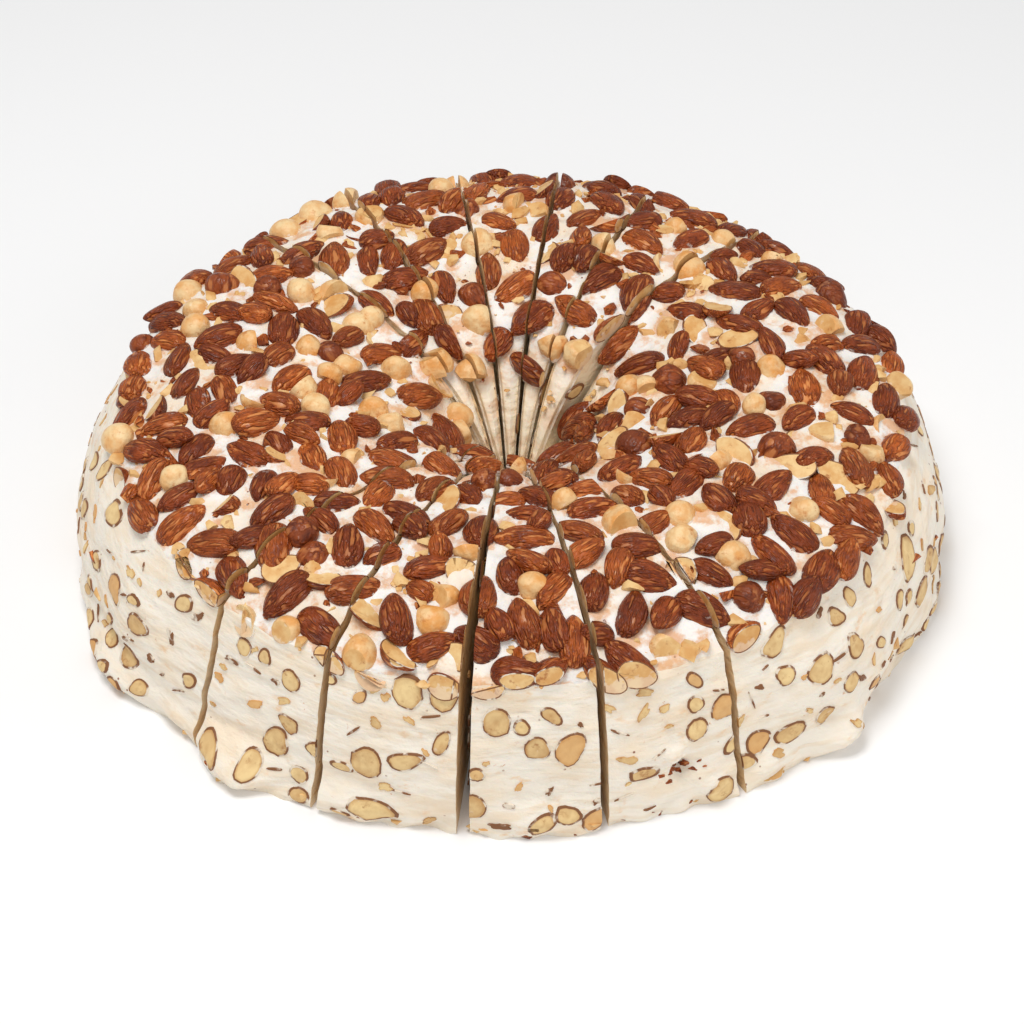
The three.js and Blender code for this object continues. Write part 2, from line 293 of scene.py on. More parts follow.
# %% [markdown]
# ## The gaps between the pieces
#
# The pieces have moved apart a little, so a gap opens from the middle to the rim, and one gap is wider. It
# is easiest to widen the cut itself: each face stands back from it by half the gap. Every later step asks a
# piece where its faces are, as angles for the nougat and as planes for the nuts that the knife met.

# %% Faces of a piece
GAP_AT_TIP = 0.4
GAP_AT_RIM = 2.4
WIDE_CUT = FRONT_CUTS[2]
WIDE_GAP_AT_RIM = 4.2


def half_gap(cut, radius):
    widest = WIDE_GAP_AT_RIM if cut == WIDE_CUT else GAP_AT_RIM
    return (GAP_AT_TIP + (widest - GAP_AT_TIP) * radius / RIM_RADIUS) / 2


def face_angles(piece, radius):
    """The angles of a piece's two cut faces at a radius."""
    start = piece["start"] + np.degrees(np.arcsin(half_gap(piece["start"] % 360, radius) / radius))
    end = piece["end"] - np.degrees(np.arcsin(half_gap(piece["end"] % 360, radius) / radius))
    return start, end


def face_plane(cut, side):
    """A point of a cut face and its normal, pointing out. side is 1 where the piece has the larger angles."""
    turn = math.radians(cut)
    ahead = Vector((math.cos(turn), math.sin(turn), 0))
    left = Vector((-math.sin(turn), math.cos(turn), 0))
    tip = side * half_gap(cut % 360, 0) * left
    rim = RIM_RADIUS * ahead + side * half_gap(cut % 360, RIM_RADIUS) * left
    normal = (rim - tip).cross(Vector((0, 0, 1))).normalized() * side
    return tip, normal


def inside_by(x, y, piece):
    """Distance in plan from a piece's nearer cut: less than 0 outside, also behind the wheel's axis."""
    start, end = math.radians(piece["start"]), math.radians(piece["end"])
    middle = (start + end) / 2
    clear = np.minimum(y * math.cos(start) - x * math.sin(start), x * math.sin(end) - y * math.cos(end))
    return np.where(x * math.cos(middle) + y * math.sin(middle) < 0, -np.inf, clear)


for piece in pieces:
    piece["planes"] = [face_plane(piece["start"], 1), face_plane(piece["end"], -1)]
rim_gaps = {round(2 * half_gap(cut, RIM_RADIUS), 1) for cut in BACK_CUTS + FRONT_CUTS}
print("gaps at the rim, in mm:", sorted(rim_gaps))

# %% [markdown]
# ## Where the nuts lie
#
# The large nuts are fused into the CAD pieces, and each has to be dressed where it stands. The CAD model
# scatters them with a small formula for random draws that gives the same numbers in any language. Repeating
# it here, draw for draw, puts every fine nut on its coarse one, with no list of places. A nut takes the room
# of three circles in a row, and it is kept if they don't reach too far into another nut's.

# %% Repeat the scattering
ALMOND = np.array((20.5, 12.6, 8.6))
HAZELNUT = np.array((13.6, 13.2, 12.4))
NUT_SIZE_SPREAD = 0.12
HAZELNUT_SHARE = 0.27
NUT_SEED = 20207
NUT_COUNT = 240
NUT_TRIES = 20000
NUT_CROWDING = 0.94
NUTS_FROM_CRATER = 23
NUTS_TO_RADIUS = 146
NUT_SINK = 0.1
NUT_LEAN = 0.2
NUT_CIRCLES = ((-0.54, 0.82), (0, 1), (0.54, 0.72))  # share of the way to an end, share of the half width


def seeded_draws(seed):
    """Endless draws from 0 to 1, each made from the whole number before it."""
    factor, modulus = 16807, 2147483647
    state = seed
    while True:
        state = state * factor % modulus
        yield state / modulus


def circles_of(nut):
    """The room a nut takes in plan: rows of x, y and radius."""
    length, width, _ = nut["size"]
    c, s = math.cos(nut["heading"]), math.sin(nut["heading"])
    reach = length - width
    return np.array([
        (nut["x"] + share * reach * c, nut["y"] + share * reach * s, wide * width / 2)
        for share, wide in NUT_CIRCLES
    ])


def crowding(circles, taken):
    """Distance to the nearest circle taken, as a share of the two radii."""
    if not len(taken):
        return math.inf
    apart = np.hypot(circles[:, None, 0] - taken[None, :, 0], circles[:, None, 1] - taken[None, :, 1])
    return float(np.min(apart / (circles[:, None, 2] + taken[None, :, 2])))


def draw_nut(draw, to_radius, lean):
    almond = next(draw) >= HAZELNUT_SHARE
    scale = 1 + NUT_SIZE_SPREAD * (2 * next(draw) - 1)
    radius = to_radius * math.sqrt(next(draw))
    angle = 2 * math.pi * next(draw)
    heading = 2 * math.pi * next(draw)
    lean_x = lean * (2 * next(draw) - 1)
    lean_y = lean * (2 * next(draw) - 1)
    return dict(
        almond=almond, x=radius * math.cos(angle), y=radius * math.sin(angle), heading=heading,
        size=(ALMOND if almond else HAZELNUT) * scale, lean=(lean_x, lean_y), lift=0.0,
    )


def scatter_large_nuts():
    draw = seeded_draws(NUT_SEED)
    nuts, taken = [], np.empty((0, 3))
    for _ in range(NUT_TRIES):
        if len(nuts) == NUT_COUNT:
            break
        nut = draw_nut(draw, NUTS_TO_RADIUS, NUT_LEAN)
        circles = circles_of(nut)
        if from_crater(nut["x"], nut["y"]) < NUTS_FROM_CRATER or crowding(circles, taken) < NUT_CROWDING:
            continue
        nuts.append(nut)
        taken = np.vstack((taken, circles))
    return nuts, taken


nuts, room_taken = scatter_large_nuts()
print(len(nuts), "large nuts,", sum(not nut["almond"] for nut in nuts), "of them hazelnuts")

# %% [markdown]
# ## More nuts on and between them
#
# The nuts are poured on and pressed down, so smaller ones fill the gaps and a few ride up on their
# neighbours. A second scatter does that. Most of its nuts need nearly their full room, and the riders may
# crowd the first ones more, and lie higher. Behind the middle the nougat stays barer.

# %% Scatter the second layer
SECOND_SEED = 4711
SECOND_TRIES = 9000
SECOND_SIZE = 0.88
SECOND_CROWDING = 0.74  # against the large nuts
SECOND_SPACING = 0.86  # against each other
SECOND_LEAN = 0.4
SECOND_LIFT = 0.3
RIDERS = 0.3  # share of them that lie on top of their neighbours
RIDER_CROWDING = 0.58
RIDER_LIFT = 2.0
SECOND_TO_RADIUS = 151
BARE_BEHIND = (35, 120)  # degrees between which most of them are left out
BARE_SHARE = 0.6


def scatter_second_nuts():
    draw = seeded_draws(SECOND_SEED)
    found, taken = [], np.empty((0, 3))
    for _ in range(SECOND_TRIES):
        nut = draw_nut(draw, SECOND_TO_RADIUS, SECOND_LEAN)
        nut["size"] = nut["size"] * SECOND_SIZE
        keep, rider = next(draw), next(draw) < RIDERS
        circles = circles_of(nut)
        angle = math.degrees(math.atan2(nut["y"], nut["x"])) % 360
        if BARE_BEHIND[0] < angle < BARE_BEHIND[1] and keep < BARE_SHARE:
            continue
        if from_crater(nut["x"], nut["y"]) < NUTS_FROM_CRATER or crowding(circles, taken) < SECOND_SPACING:
            continue
        if crowding(circles, room_taken) < (RIDER_CROWDING if rider else SECOND_CROWDING):
            continue
        nut["lift"] = RIDER_LIFT if rider else SECOND_LIFT
        found.append(nut)
        taken = np.vstack((taken, circles))
    return found, taken


second_nuts, second_room = scatter_second_nuts()
nuts += second_nuts
room_taken = np.vstack((room_taken, second_room))
print(len(second_nuts), "more nuts")

# %% [markdown]
# ## The nougat
#
# A piece of cake is a bent block: it has a tip, a side, a top, a floor and two cut faces. So the mesh starts
# as the six faces of a lattice of points, numbered once so that neighbouring faces share their edges. The
# lattice is then bent: its first direction runs from the tip to the side, its second from the floor to the
# top, and its third from one cut to the other. A closed mesh comes out of this without any cutting.

# %% A lattice that is only its skin
def lattice_skin(rows):
    """Shares from 0 to 1 of a lattice's outer points, its quads, facing out, and the sheet of each quad."""
    grids = np.meshgrid(*(np.linspace(0, 1, n + 1) for n in rows), indexing="ij")
    outer = np.zeros(grids[0].shape, bool)
    for grid in grids:
        outer |= (grid == 0) | (grid == 1)
    number = np.full(outer.shape, -1)
    number[outer] = np.arange(outer.sum())
    quads, sheets = [], []
    for sheet, turned in (
        (number[0], False), (number[-1], True), (number[:, 0], True),
        (number[:, -1], False), (number[:, :, 0], False), (number[:, :, -1], True),
    ):
        quad = np.stack((sheet[:-1, :-1], sheet[1:, :-1], sheet[1:, 1:], sheet[:-1, 1:]), -1).reshape(-1, 4)
        quads.append(quad[:, ::-1] if turned else quad)
        sheets += [len(quads) - 1] * len(quad)
    return *(grid[outer] for grid in grids), np.concatenate(quads), np.array(sheets)


print("a 2 x 2 x 2 lattice has", len(lattice_skin((2, 2, 2))[3]), "quads")

# %% [markdown]
# ## Relief of the top
#
# Soft nougat creeps up round every nut that was pressed into it, and it is torn into small lumps between
# them. At a cut the top rolls down. Beside the sunken middle it rolls further, so the slices end there like
# fingers. A bump in the finish would only shade this, so it is worked into the points, as a sum of Blender's
# own noise at two sizes, and then it shows in the outline too.

# %% Relief of the top
CLIMB = 1.2  # how far the nougat climbs a nut
CLIMB_REACH = 2.4
POURED_OVER = 0.4  # how far it stands above the CAD model's between the nuts
TEAR_HEIGHT = 1.0
TEAR_SIZE = 8.5
SMALL_TEAR_SIZE, SMALL_TEAR_SHARE = 3.1, 0.6
TORN_IN_CRATER = 0.35  # share of the tears' height that the sunken middle has
EDGE_ROLL, EDGE_REACH = 0.7, 1.2  # how far and how soon the top rolls down to a cut
FINGER_ROLL, FINGER_REACH = 7, 1.9  # the same on the steep inner ends of the slices
FINGER_FROM, FINGER_TO = 62, 30  # mm from the middle of the crater between which they begin


def noise_at(x, y, z):
    """Blender's smooth noise, about -1 to 1, at each of many points."""
    return np.fromiter((noise.noise(p) for p in zip(x, y, z)), float, len(x))


def gap_to_nuts(x, y):
    """Distance in plan from each point to the nearest nut's edge, less than 0 under it."""
    nearest = np.full(x.shape, np.inf)
    for nut_x, nut_y, radius in room_taken:
        nearest = np.minimum(nearest, np.hypot(x - nut_x, y - nut_y) - radius)
    return nearest


def finger_share(x, y):
    """1 beside the middle of the crater, 0 well away from it."""
    return np.clip((from_crater(x, y) - FINGER_FROM) / (FINGER_TO - FINGER_FROM), 0, 1)


def top_relief(x, y, piece):
    flat = 0 * x
    climbed = CLIMB * np.exp(-np.maximum(gap_to_nuts(x, y), 0) / CLIMB_REACH)
    small = noise_at(x / SMALL_TEAR_SIZE, y / SMALL_TEAR_SIZE, flat)
    torn = noise_at(x / TEAR_SIZE, y / TEAR_SIZE, flat) + SMALL_TEAR_SHARE * small
    off_crater = np.clip((from_crater(x, y) - NUTS_FROM_CRATER) / CRATER_REACH, 0, 1)
    torn_share = TORN_IN_CRATER + (1 - TORN_IN_CRATER) * off_crater
    from_cut = np.maximum(inside_by(x, y, piece), 0)
    rolled = EDGE_ROLL * np.exp(-from_cut / EDGE_REACH)
    rolled = rolled + FINGER_ROLL * finger_share(x, y) * np.exp(-from_cut / FINGER_REACH)
    return (climbed + POURED_OVER) * off_crater + TEAR_HEIGHT * torn * torn_share - rolled


spots = np.linspace(40, 140, 200)
crest_relief = top_relief(0 * spots, -spots, pieces[2])
print("relief along a slice:", crest_relief.min().round(1), "to", crest_relief.max().round(1), "mm")

# %% [markdown]
# ## Relief of the side
#
# The mould smoothed the side, and then a hand wiped it, so long low waves and slanted strokes cross it. The
# lips at the foot have a crisp upper edge with a crease above it, and the whole foot is ragged. All of that
# comes from noise and from the list of lips. Noise can't put a form in one chosen place, so a few lumps and
# hollows, and a tear under a flap, are listed one by one as bells on the side. The knife left its own faces
# nearly flat, with shallow drag marks, which draw them in and never out.

# %% Relief of the side and of the cut faces
# a PLACE is where a wave is taken from the endless noise, so that no two waves are the same
SIDE_DRAWN_IN = 0.9  # so that the waves of the side stay inside the CAD model's box
SMEAR_DEPTH, SMEAR_LENGTH, SMEAR_HEIGHT = 0.9, 34, 9
FINE_DEPTH, FINE_LENGTH, FINE_HEIGHT, FINE_PLACE = 0.3, 7, 3.5, 40
STROKE_DEPTH, STROKE_LENGTH, STROKE_WIDTH, STROKE_SLANT = 0.8, 26, 4.2, 0.42
FOOT_LUMP, FOOT_LUMP_SIZE, FOOT_LUMP_HEIGHT, FOOT_LUMP_PLACE = 2.4, 9, 6, 80
FOOT_LUMP_REACH = 8
FOOT_NOTCHED = 0.25  # taken off the foot's noise, so that it has more notches than lumps
LEDGE_OUT, LEDGE_TOP, LEDGE_BOTTOM, LEDGE_REACH = 5.0, 11.5, 9, 12  # the crisp upper edge of a lip
CREASE_DEPTH, CREASE_HEIGHT, CREASE_REACH = 2.2, 17, 3  # the fold above it
FULL_LIP = 7  # mm out at which a lip has the whole ledge and crease
TEAR_ANGLE, TEAR_AT = 292, 19  # of the torn hollow
SIDE_FORMS = (  # angle, height, half width in mm and how far out
    (316.5, 14, 6, 4.2), (316, 0, 8, -5), (330, 16, 17, -3.5), (222, 6, 6, 2.5), (236, 5, 5, 2.5),
    (258, 4, 5, 1.8), (TEAR_ANGLE, TEAR_AT, 3.6, -6.5), (291, 25.5, 3.4, 2.6), (296, 9, 6, 2.2),
)
DRAG_DEPTH, DRAG_LENGTH, DRAG_HEIGHT, DRAG_PLACE = 0.35, 30, 5, 9


def side_relief(angle, height):
    # the same place on the wheel gives the same noise, whichever piece asks
    c, s = np.cos(np.radians(angle)) * WIDEST_RADIUS, np.sin(np.radians(angle)) * WIDEST_RADIUS
    smear = noise_at(c / SMEAR_LENGTH, s / SMEAR_LENGTH, height / SMEAR_HEIGHT)
    fine = noise_at(c / FINE_LENGTH, s / FINE_LENGTH, height / FINE_HEIGHT + FINE_PLACE)
    ragged = noise_at(c / FOOT_LUMP_SIZE, s / FOOT_LUMP_SIZE, height / FOOT_LUMP_HEIGHT + FOOT_LUMP_PLACE)
    slanted = (height - STROKE_SLANT * np.radians(angle) * TRIMMED_RADIUS) / STROKE_WIDTH
    stroke = noise_at(c / STROKE_LENGTH, s / STROKE_LENGTH, slanted)
    relief = SMEAR_DEPTH * smear + FINE_DEPTH * fine + STROKE_DEPTH * stroke - SIDE_DRAWN_IN
    relief = relief + FOOT_LUMP * (ragged - FOOT_NOTCHED) * bell(height, FOOT_LUMP_REACH)
    ledge = LEDGE_OUT * np.clip((LEDGE_TOP - height) / (LEDGE_TOP - LEDGE_BOTTOM), 0, 1)
    crease = CREASE_DEPTH * bell(height - CREASE_HEIGHT, CREASE_REACH)
    lip_section = ledge * bell(height, LEDGE_REACH) - crease
    for lip_angle, spread, out in FOOT_LIPS:
        relief = relief + bell(angle_between(angle, lip_angle), spread) * out / FULL_LIP * lip_section
    for form_angle, form_height, half_width, out in SIDE_FORMS:
        along = np.radians(angle_between(angle, form_angle)) * TRIMMED_RADIUS
        relief = relief + out * bell(np.hypot(along, height - form_height), half_width)
    return relief


def drag_relief(x, y, z):
    wave = noise_at(x / DRAG_LENGTH + DRAG_PLACE, y / DRAG_LENGTH, z / DRAG_HEIGHT)
    return DRAG_DEPTH * (wave + 1) / 2


in_tear = float(side_relief(np.array([TEAR_ANGLE]), np.array([TEAR_AT]))[0])
print("relief of the side in the tear:", round(in_tear, 1), "mm")

# %% [markdown]
# ## Bend the lattice
#
# Each point of the lattice has three shares: how far out, how far up and how far across the piece it is.
# They become a radius, a height and an angle. The top is shaped first and the side after it. The rows just
# behind the side follow its relief as well, or the mesh would fold where the side meets the floor and the
# cuts. The cut faces come last, drawn in along their normals. Every mesh in this script is held inside the
# CAD model's box, because the real cake is no larger than the model says.

# %% Bend the lattice into a piece of cake
TOP, WALL, CUT_FACE = 0, 1, 2
SHEET_FINISH = (CUT_FACE, WALL, WALL, TOP, CUT_FACE, CUT_FACE)  # of the tip, side, floor, top and two cuts
GRAIN_OF_MESH = 1.7  # mm between points
GRAIN_UP = 1.6  # the same from the floor up
TIP_RADIUS = 4  # where the lattice's inner end is
RELIEF_FROM = 0.88  # share of the way out from which points follow the relief of the side
FINGER_GAP = 0.6  # how far the cut faces draw back beside the sunken middle
BOX_MARGIN = 0.05  # mm


def bent_block(piece):
    """Points of a piece, its quads, and for each quad the finish of the sheet that it is in."""
    span = math.radians(piece["end"] - piece["start"]) * RIM_RADIUS
    rows = (round(RIM_RADIUS / GRAIN_OF_MESH), round(RIM_HEIGHT / GRAIN_UP), round(span / GRAIN_OF_MESH))
    out, up, across, quads, sheets = lattice_skin(rows)
    top_radius = TIP_RADIUS + (RIM_RADIUS - TIP_RADIUS) * out
    start, end = face_angles(piece, top_radius)
    angle = start + (end - start) * across
    x, y = top_radius * np.cos(np.radians(angle)), top_radius * np.sin(np.radians(angle))
    height = up * nougat_top(x, y, piece)
    is_top = up == 1
    height[is_top] += top_relief(x[is_top], y[is_top], piece)
    side = side_radius(angle, height, piece)
    near_side = out > RELIEF_FROM
    fade = (out[near_side] - RELIEF_FROM) / (1 - RELIEF_FROM)
    side[near_side] += fade * side_relief(angle[near_side], height[near_side])
    radius = TIP_RADIUS + (side - TIP_RADIUS) * out
    start, end = face_angles(piece, radius)
    angle = start + (end - start) * across
    x, y = radius * np.cos(np.radians(angle)), radius * np.sin(np.radians(angle))
    for share, (_, normal) in zip((0, 1), piece["planes"]):
        cut = across == share
        dragged = drag_relief(x[cut], y[cut], height[cut]) + FINGER_GAP * finger_share(x[cut], y[cut])
        x[cut] -= normal.x * dragged
        y[cut] -= normal.y * dragged
    return np.stack((x, y, height), -1), quads, np.array(SHEET_FINISH)[sheets]


inwards = np.array(((1, 1, 0), (-1, -1, -1)))  # from the box's lowest corner, on the floor, and its highest
box_of_visual = np.array(cad_box) + inwards * BOX_MARGIN * MM


def mesh_object(name, points, faces):
    """A smooth mesh object from points in millimetres. Faces are rows of point numbers."""
    mesh = bpy.data.meshes.new(name)
    points = np.clip(np.asarray(points) * MM, *box_of_visual)
    mesh.from_pydata(points.tolist(), [], [list(map(int, face)) for face in faces])
    mesh.update()
    mesh.shade_smooth()
    thing = bpy.data.objects.new(name, mesh)
    bpy.context.collection.objects.link(thing)
    return thing


SHARP_EDGE = math.radians(48)
nougat_bodies = {}
for piece in pieces:
    points, quads, finishes = bent_block(piece)
    body = mesh_object("nougat_" + piece["name"], points, quads)
    body.data.set_sharp_from_angle(angle=SHARP_EDGE)
    nougat_bodies[piece["name"]] = body, finishes
print(sum(len(body.data.polygons) for body, _ in nougat_bodies.values()), "faces of nougat")

# %% [markdown]
# ## Materials from nodes
#
# Every finish below is a small tree of shader nodes. Writing each node, its settings and its links on one
# line keeps the trees readable, so a helper does that. A value goes to a socket as it is, and a socket of
# another node is linked.

# %% Node helper
def srgb(red, green, blue):
    """A colour as seen on a screen, 0 to 255, as the linear colour that shaders use."""
    shares = (red / 255, green / 255, blue / 255)
    return (*(s / 12.92 if s <= 0.04045 else ((s + 0.055) / 1.055) ** 2.4 for s in shares), 1)


class Finish:
    """A material whose node tree is built up call by call."""

    def __init__(self, name):
        self.material = bpy.data.materials.new(name)
        self.material.use_nodes = True
        self.tree = self.material.node_tree
        self.shader = self.tree.nodes["Principled BSDF"]

    def add(self, kind, settings=None, **inputs):
        node = self.tree.nodes.new("ShaderNode" + kind)
        for name, value in (settings or {}).items():
            setattr(node, name, value)
        for name, value in inputs.items():
            self.set(node, name.replace("_", " "), value)
        return node

    def set(self, node, name, value):
        socket = node.inputs[int(name)] if name.isdigit() else node.inputs[name]
        if isinstance(value, bpy.types.NodeSocket):
            self.tree.links.new(value, socket)
        else:
            socket.default_value = value

    def places(self, attribute=None):
        """Coordinates in metres of the wheel, or those kept with each nut."""
        if attribute:
            return self.add("Attribute", {"attribute_name": attribute}).outputs["Vector"]
        return self.add("TexCoord").outputs["Object"]

    def number(self, attribute):
        return self.add("Attribute", {"attribute_name": attribute}).outputs["Fac"]

    def stretch(self, places, x=1.0, y=1.0, z=1.0):
        return self.add("Mapping", Vector=places, Scale=(x, y, z)).outputs["Vector"]

    def noise(self, places, scale, detail=3.0, roughness=0.5):
        inputs = {"Vector": places, "Scale": scale, "Detail": detail, "Roughness": roughness}
        return self.add("TexNoise", **inputs).outputs["Fac"]

    def wavered(self, places, scale, reach):
        """The same places, each moved smoothly by up to so many metres."""
        moved = self.add("TexNoise", Vector=places, Scale=scale, Detail=1.0).outputs["Color"]
        node = self.add("VectorMath", {"operation": "MULTIPLY_ADD"})
        for index, value in enumerate((moved, (reach, reach, reach), places)):
            self.set(node, str(index), value)
        return node.outputs[0]

    def cells(self, places, scale):
        """Distance to the nearest of many scattered points."""
        return self.add("TexVoronoi", Vector=places, Scale=scale).outputs["Distance"]

    def between(self, value, low, high, to_low=0.0, to_high=1.0):
        """Where value goes from low to high, this goes smoothly from one end to the other."""
        node = self.add("MapRange", {"interpolation_type": "SMOOTHSTEP"})
        for index, number in enumerate((value, low, high, to_low, to_high)):
            self.set(node, str(index), number)
        return node.outputs[0]

    def pattern(self, places, numbers, to_low=0.0, to_high=1.0):
        """Noise between two values. numbers are its scale, detail and roughness, and then the two values."""
        scale, detail, roughness, low, high = numbers
        return self.between(self.noise(places, scale, detail, roughness), low, high, to_low, to_high)

    def maths(self, operation, a, b=0.0):
        node = self.add("Math", {"operation": operation})
        self.set(node, "0", a)
        self.set(node, "1", b)
        return node.outputs[0]

    def mixed(self, share, a, b):
        node = self.add("Mix", {"data_type": "RGBA"})
        self.set(node, "0", share)
        self.set(node, "6", a)
        self.set(node, "7", b)
        return node.outputs[2]

    def bump(self, height, depth_mm, strength=1.0, onto=None):
        node = self.add("Bump", Height=height, Distance=depth_mm * MM, Strength=strength)
        if onto:
            self.set(node, "Normal", onto)
        return node.outputs["Normal"]

    def surface(self, colour, roughness, normal=None, specular=0.5):
        self.set(self.shader, "Base Color", colour)
        self.set(self.shader, "Roughness", roughness)
        self.set(self.shader, "Specular IOR Level", specular)
        if normal:
            self.set(self.shader, "Normal", normal)
        return self.material


print("nougat white as a linear colour:", [round(c, 2) for c in srgb(241, 232, 218)])

# %% [markdown]
# ## Nougat
#
# Nougat is egg white and honey, whipped up with nut crumbs in it. It is bright and matt, a little yellower
# in places, with rosy tan stains where a nut has bled its oil, and dark specks of skin. Stains and specks
# come from noise that is cut off high, so that most of the surface stays clean. Fine pits and wiped streaks
# break its gloss. The sunken middle of the top is painted a brighter cream: painted light against the shade
# that falls there. The side carries darker streaks along its wipe strokes, which are smear lines and painted
# shade that makes their relief show. The cut faces are painted lighter than the rest, as painted light in
# the narrow gaps, and away from the middle painted shade darkens them inside the gaps. So there are three
# finishes of one recipe.

# %% Colour of the nougat
NOUGAT_WHITE = srgb(252, 247, 238)
SPECK_BROWN = srgb(139, 84, 56)
FLECK_TAN = srgb(206, 140, 84)
# name: (white, cream, stain, noise from which stains begin: the lower, the more)
NOUGAT_COLOURS = {
    "nougat_top": (srgb(243, 239, 233), srgb(242, 224, 200), srgb(224, 160, 98), 0.47),
    "nougat_wall": (srgb(246, 236, 220), srgb(245, 227, 202), srgb(236, 194, 148), 0.58),
    # the cut faces' white and cream are lighter than the nougat's own: painted light against the shade of the
    # narrow gaps
    "nougat_cut": (srgb(254, 240, 214), srgb(246, 220, 178), srgb(216, 164, 108), 0.56),
}
# each pattern: noise scale, detail and roughness, and the values between which it fades in
CREAM_PATTERN = (45, 3, 0.5, 0.42, 0.68)
FLECK_PATTERN = (330, 4, 0.6, 0.66, 0.72)
FLECKED_AREAS = (70, 3, 0.5, 0.48, 0.62)
SPECKED_AREAS = (60, 3, 0.5, 0.52, 0.6)
STAIN_NOISE = (95, 5, 0.62)
STAIN_FADE, STAIN_SHARE = 0.16, 0.75
FLECK_SHARE = 0.8
SPECK_SCALE, SPECK_RADII = 190, (0.05, 0.12)
STREAK_STRETCH = 1.8
# painted light: a brighter cream in the sunken middle, against the shade that falls there
CRATER_PAINTED_LIGHT = srgb(255, 242, 220)
DEEP_FROM, DEEP_TO = 0.057, 0.044  # heights, in metres, between which the sunken middle takes on the painted light
DEEP_STAINED = 0.35  # share of its stains that are left there
GAP_PAINTED_SHADE = srgb(208, 166, 104)  # painted shade of the cut faces inside the gaps, well away from the middle
GAP_FROM, GAP_TO, GAP_SHARE = 0.075, 0.1, 0.5  # metres from the origin, and how much of the shade
# darker streaks along the wipe strokes: smear lines, and painted shade that makes the strokes' relief show
WIPE_SMEAR_AND_SHADE = srgb(234, 212, 182)
WIPE_SHADED, WIPE_SHARE = (0.5, 0.66), 0.5


def nougat_colour(f, name, places, wipe):
    white, cream, stain, stained_from = NOUGAT_COLOURS[name]
    streaks = f.stretch(places, z=STREAK_STRETCH)
    colour = f.mixed(f.pattern(streaks, CREAM_PATTERN), white, cream)
    stained = f.pattern(streaks, (*STAIN_NOISE, stained_from, stained_from + STAIN_FADE), 0, STAIN_SHARE)
    if name == "nougat_top":
        height = f.add("SeparateXYZ", Vector=places).outputs["Z"]
        # painted light in the sunken middle, with fewer stains there
        deep = f.between(height, DEEP_TO, DEEP_FROM, 1, 0)
        colour = f.mixed(deep, colour, CRATER_PAINTED_LIGHT)
        stained = f.maths("MULTIPLY", stained, f.between(deep, 0, 1, 1, DEEP_STAINED))
    colour = f.mixed(stained, colour, stain)
    flecked = f.pattern(places, FLECK_PATTERN, 0, FLECK_SHARE)
    flecked = f.maths("MULTIPLY", flecked, f.pattern(places, FLECKED_AREAS))
    colour = f.mixed(flecked, colour, FLECK_TAN)
    specks = f.between(f.cells(places, SPECK_SCALE), *SPECK_RADII, 1, 0)
    colour = f.mixed(f.maths("MULTIPLY", specks, f.pattern(places, SPECKED_AREAS)), colour, SPECK_BROWN)
    # painted shade: the cut faces turn darker away from the middle, inside the gaps
    if name == "nougat_cut":
        from_middle = f.add("VectorMath", {"operation": "LENGTH"}, **{"0": places}).outputs["Value"]
        colour = f.mixed(f.between(from_middle, GAP_FROM, GAP_TO, 0, GAP_SHARE), colour, GAP_PAINTED_SHADE)
    # smear lines and painted shade along the wipe strokes of the side
    if name == "nougat_wall":
        colour = f.mixed(f.between(wipe, *WIPE_SHADED, 0, WIPE_SHARE), colour, WIPE_SMEAR_AND_SHADE)
    return colour


# %% Nougat finish
WIPE_STRETCH, WIPE_SCALE = 0.14, 300  # wipe marks are noise that is drawn out along x and y
WIPE_BEND, WIPE_BEND_SCALE = 0.022, 14  # metres by which they wander
# each bump: noise scale, detail and roughness, depth in mm and strength
LUMP_BUMP = (110, 4, 0.5, 2.2, 0.7)
PIT_BUMP = (900, 3, 0.6, 0.15, 0.6)
WIPE_BUMP = (0.9, 0.8)
GLOSS_PATTERN, GLOSS_RANGE = (120, 3, 0.5, 0.35, 0.7), (0.42, 0.62)
NOUGAT_SHINE = 0.35
GLOW = {"Weight": 0.12, "Radius": (1.0, 0.6, 0.35), "Scale": 0.004}  # light that has been under the surface


def nougat_finish(name):
    f = Finish(name)
    places = f.places()
    bent = f.wavered(places, WIPE_BEND_SCALE, WIPE_BEND)
    wipe = f.noise(f.stretch(bent, x=WIPE_STRETCH, y=WIPE_STRETCH), WIPE_SCALE)
    lumps_noise, pits_noise = LUMP_BUMP[:3], PIT_BUMP[:3]
    lumpy = f.bump(f.noise(f.stretch(places, z=STREAK_STRETCH), *lumps_noise), *LUMP_BUMP[3:])
    wiped = f.bump(wipe, *WIPE_BUMP, onto=lumpy)
    pitted = f.bump(f.noise(places, *pits_noise), *PIT_BUMP[3:], onto=wiped)
    roughness = f.pattern(places, GLOSS_PATTERN, *GLOSS_RANGE)
    f.surface(nougat_colour(f, name, places, wipe), roughness, pitted, NOUGAT_SHINE)
    for setting, value in GLOW.items():
        f.shader.inputs["Subsurface " + setting].default_value = value
    return f.material


nougat_finishes = [nougat_finish(name) for name in NOUGAT_COLOURS]
for name, (body, finishes) in nougat_bodies.items():
    for finish in nougat_finishes:
        body.data.materials.append(finish)
    body.data.polygons.foreach_set("material_index", finishes)
    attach(body, "root")
    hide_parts(name)
print("nougat covers", len(nougat_bodies), "pieces")

# %% [markdown]
# ## The shape of a nut
#
# An almond is a flat drop, blunt at one end and pointed at the other. A hazelnut is a ball with a small
# point and a flat scar. Both are made as rings round their own long axis, with unit sizes, so that one
# recipe serves for every size. The rings' two radii are curves of the angle phi, which runs from the point
# to the blunt end.

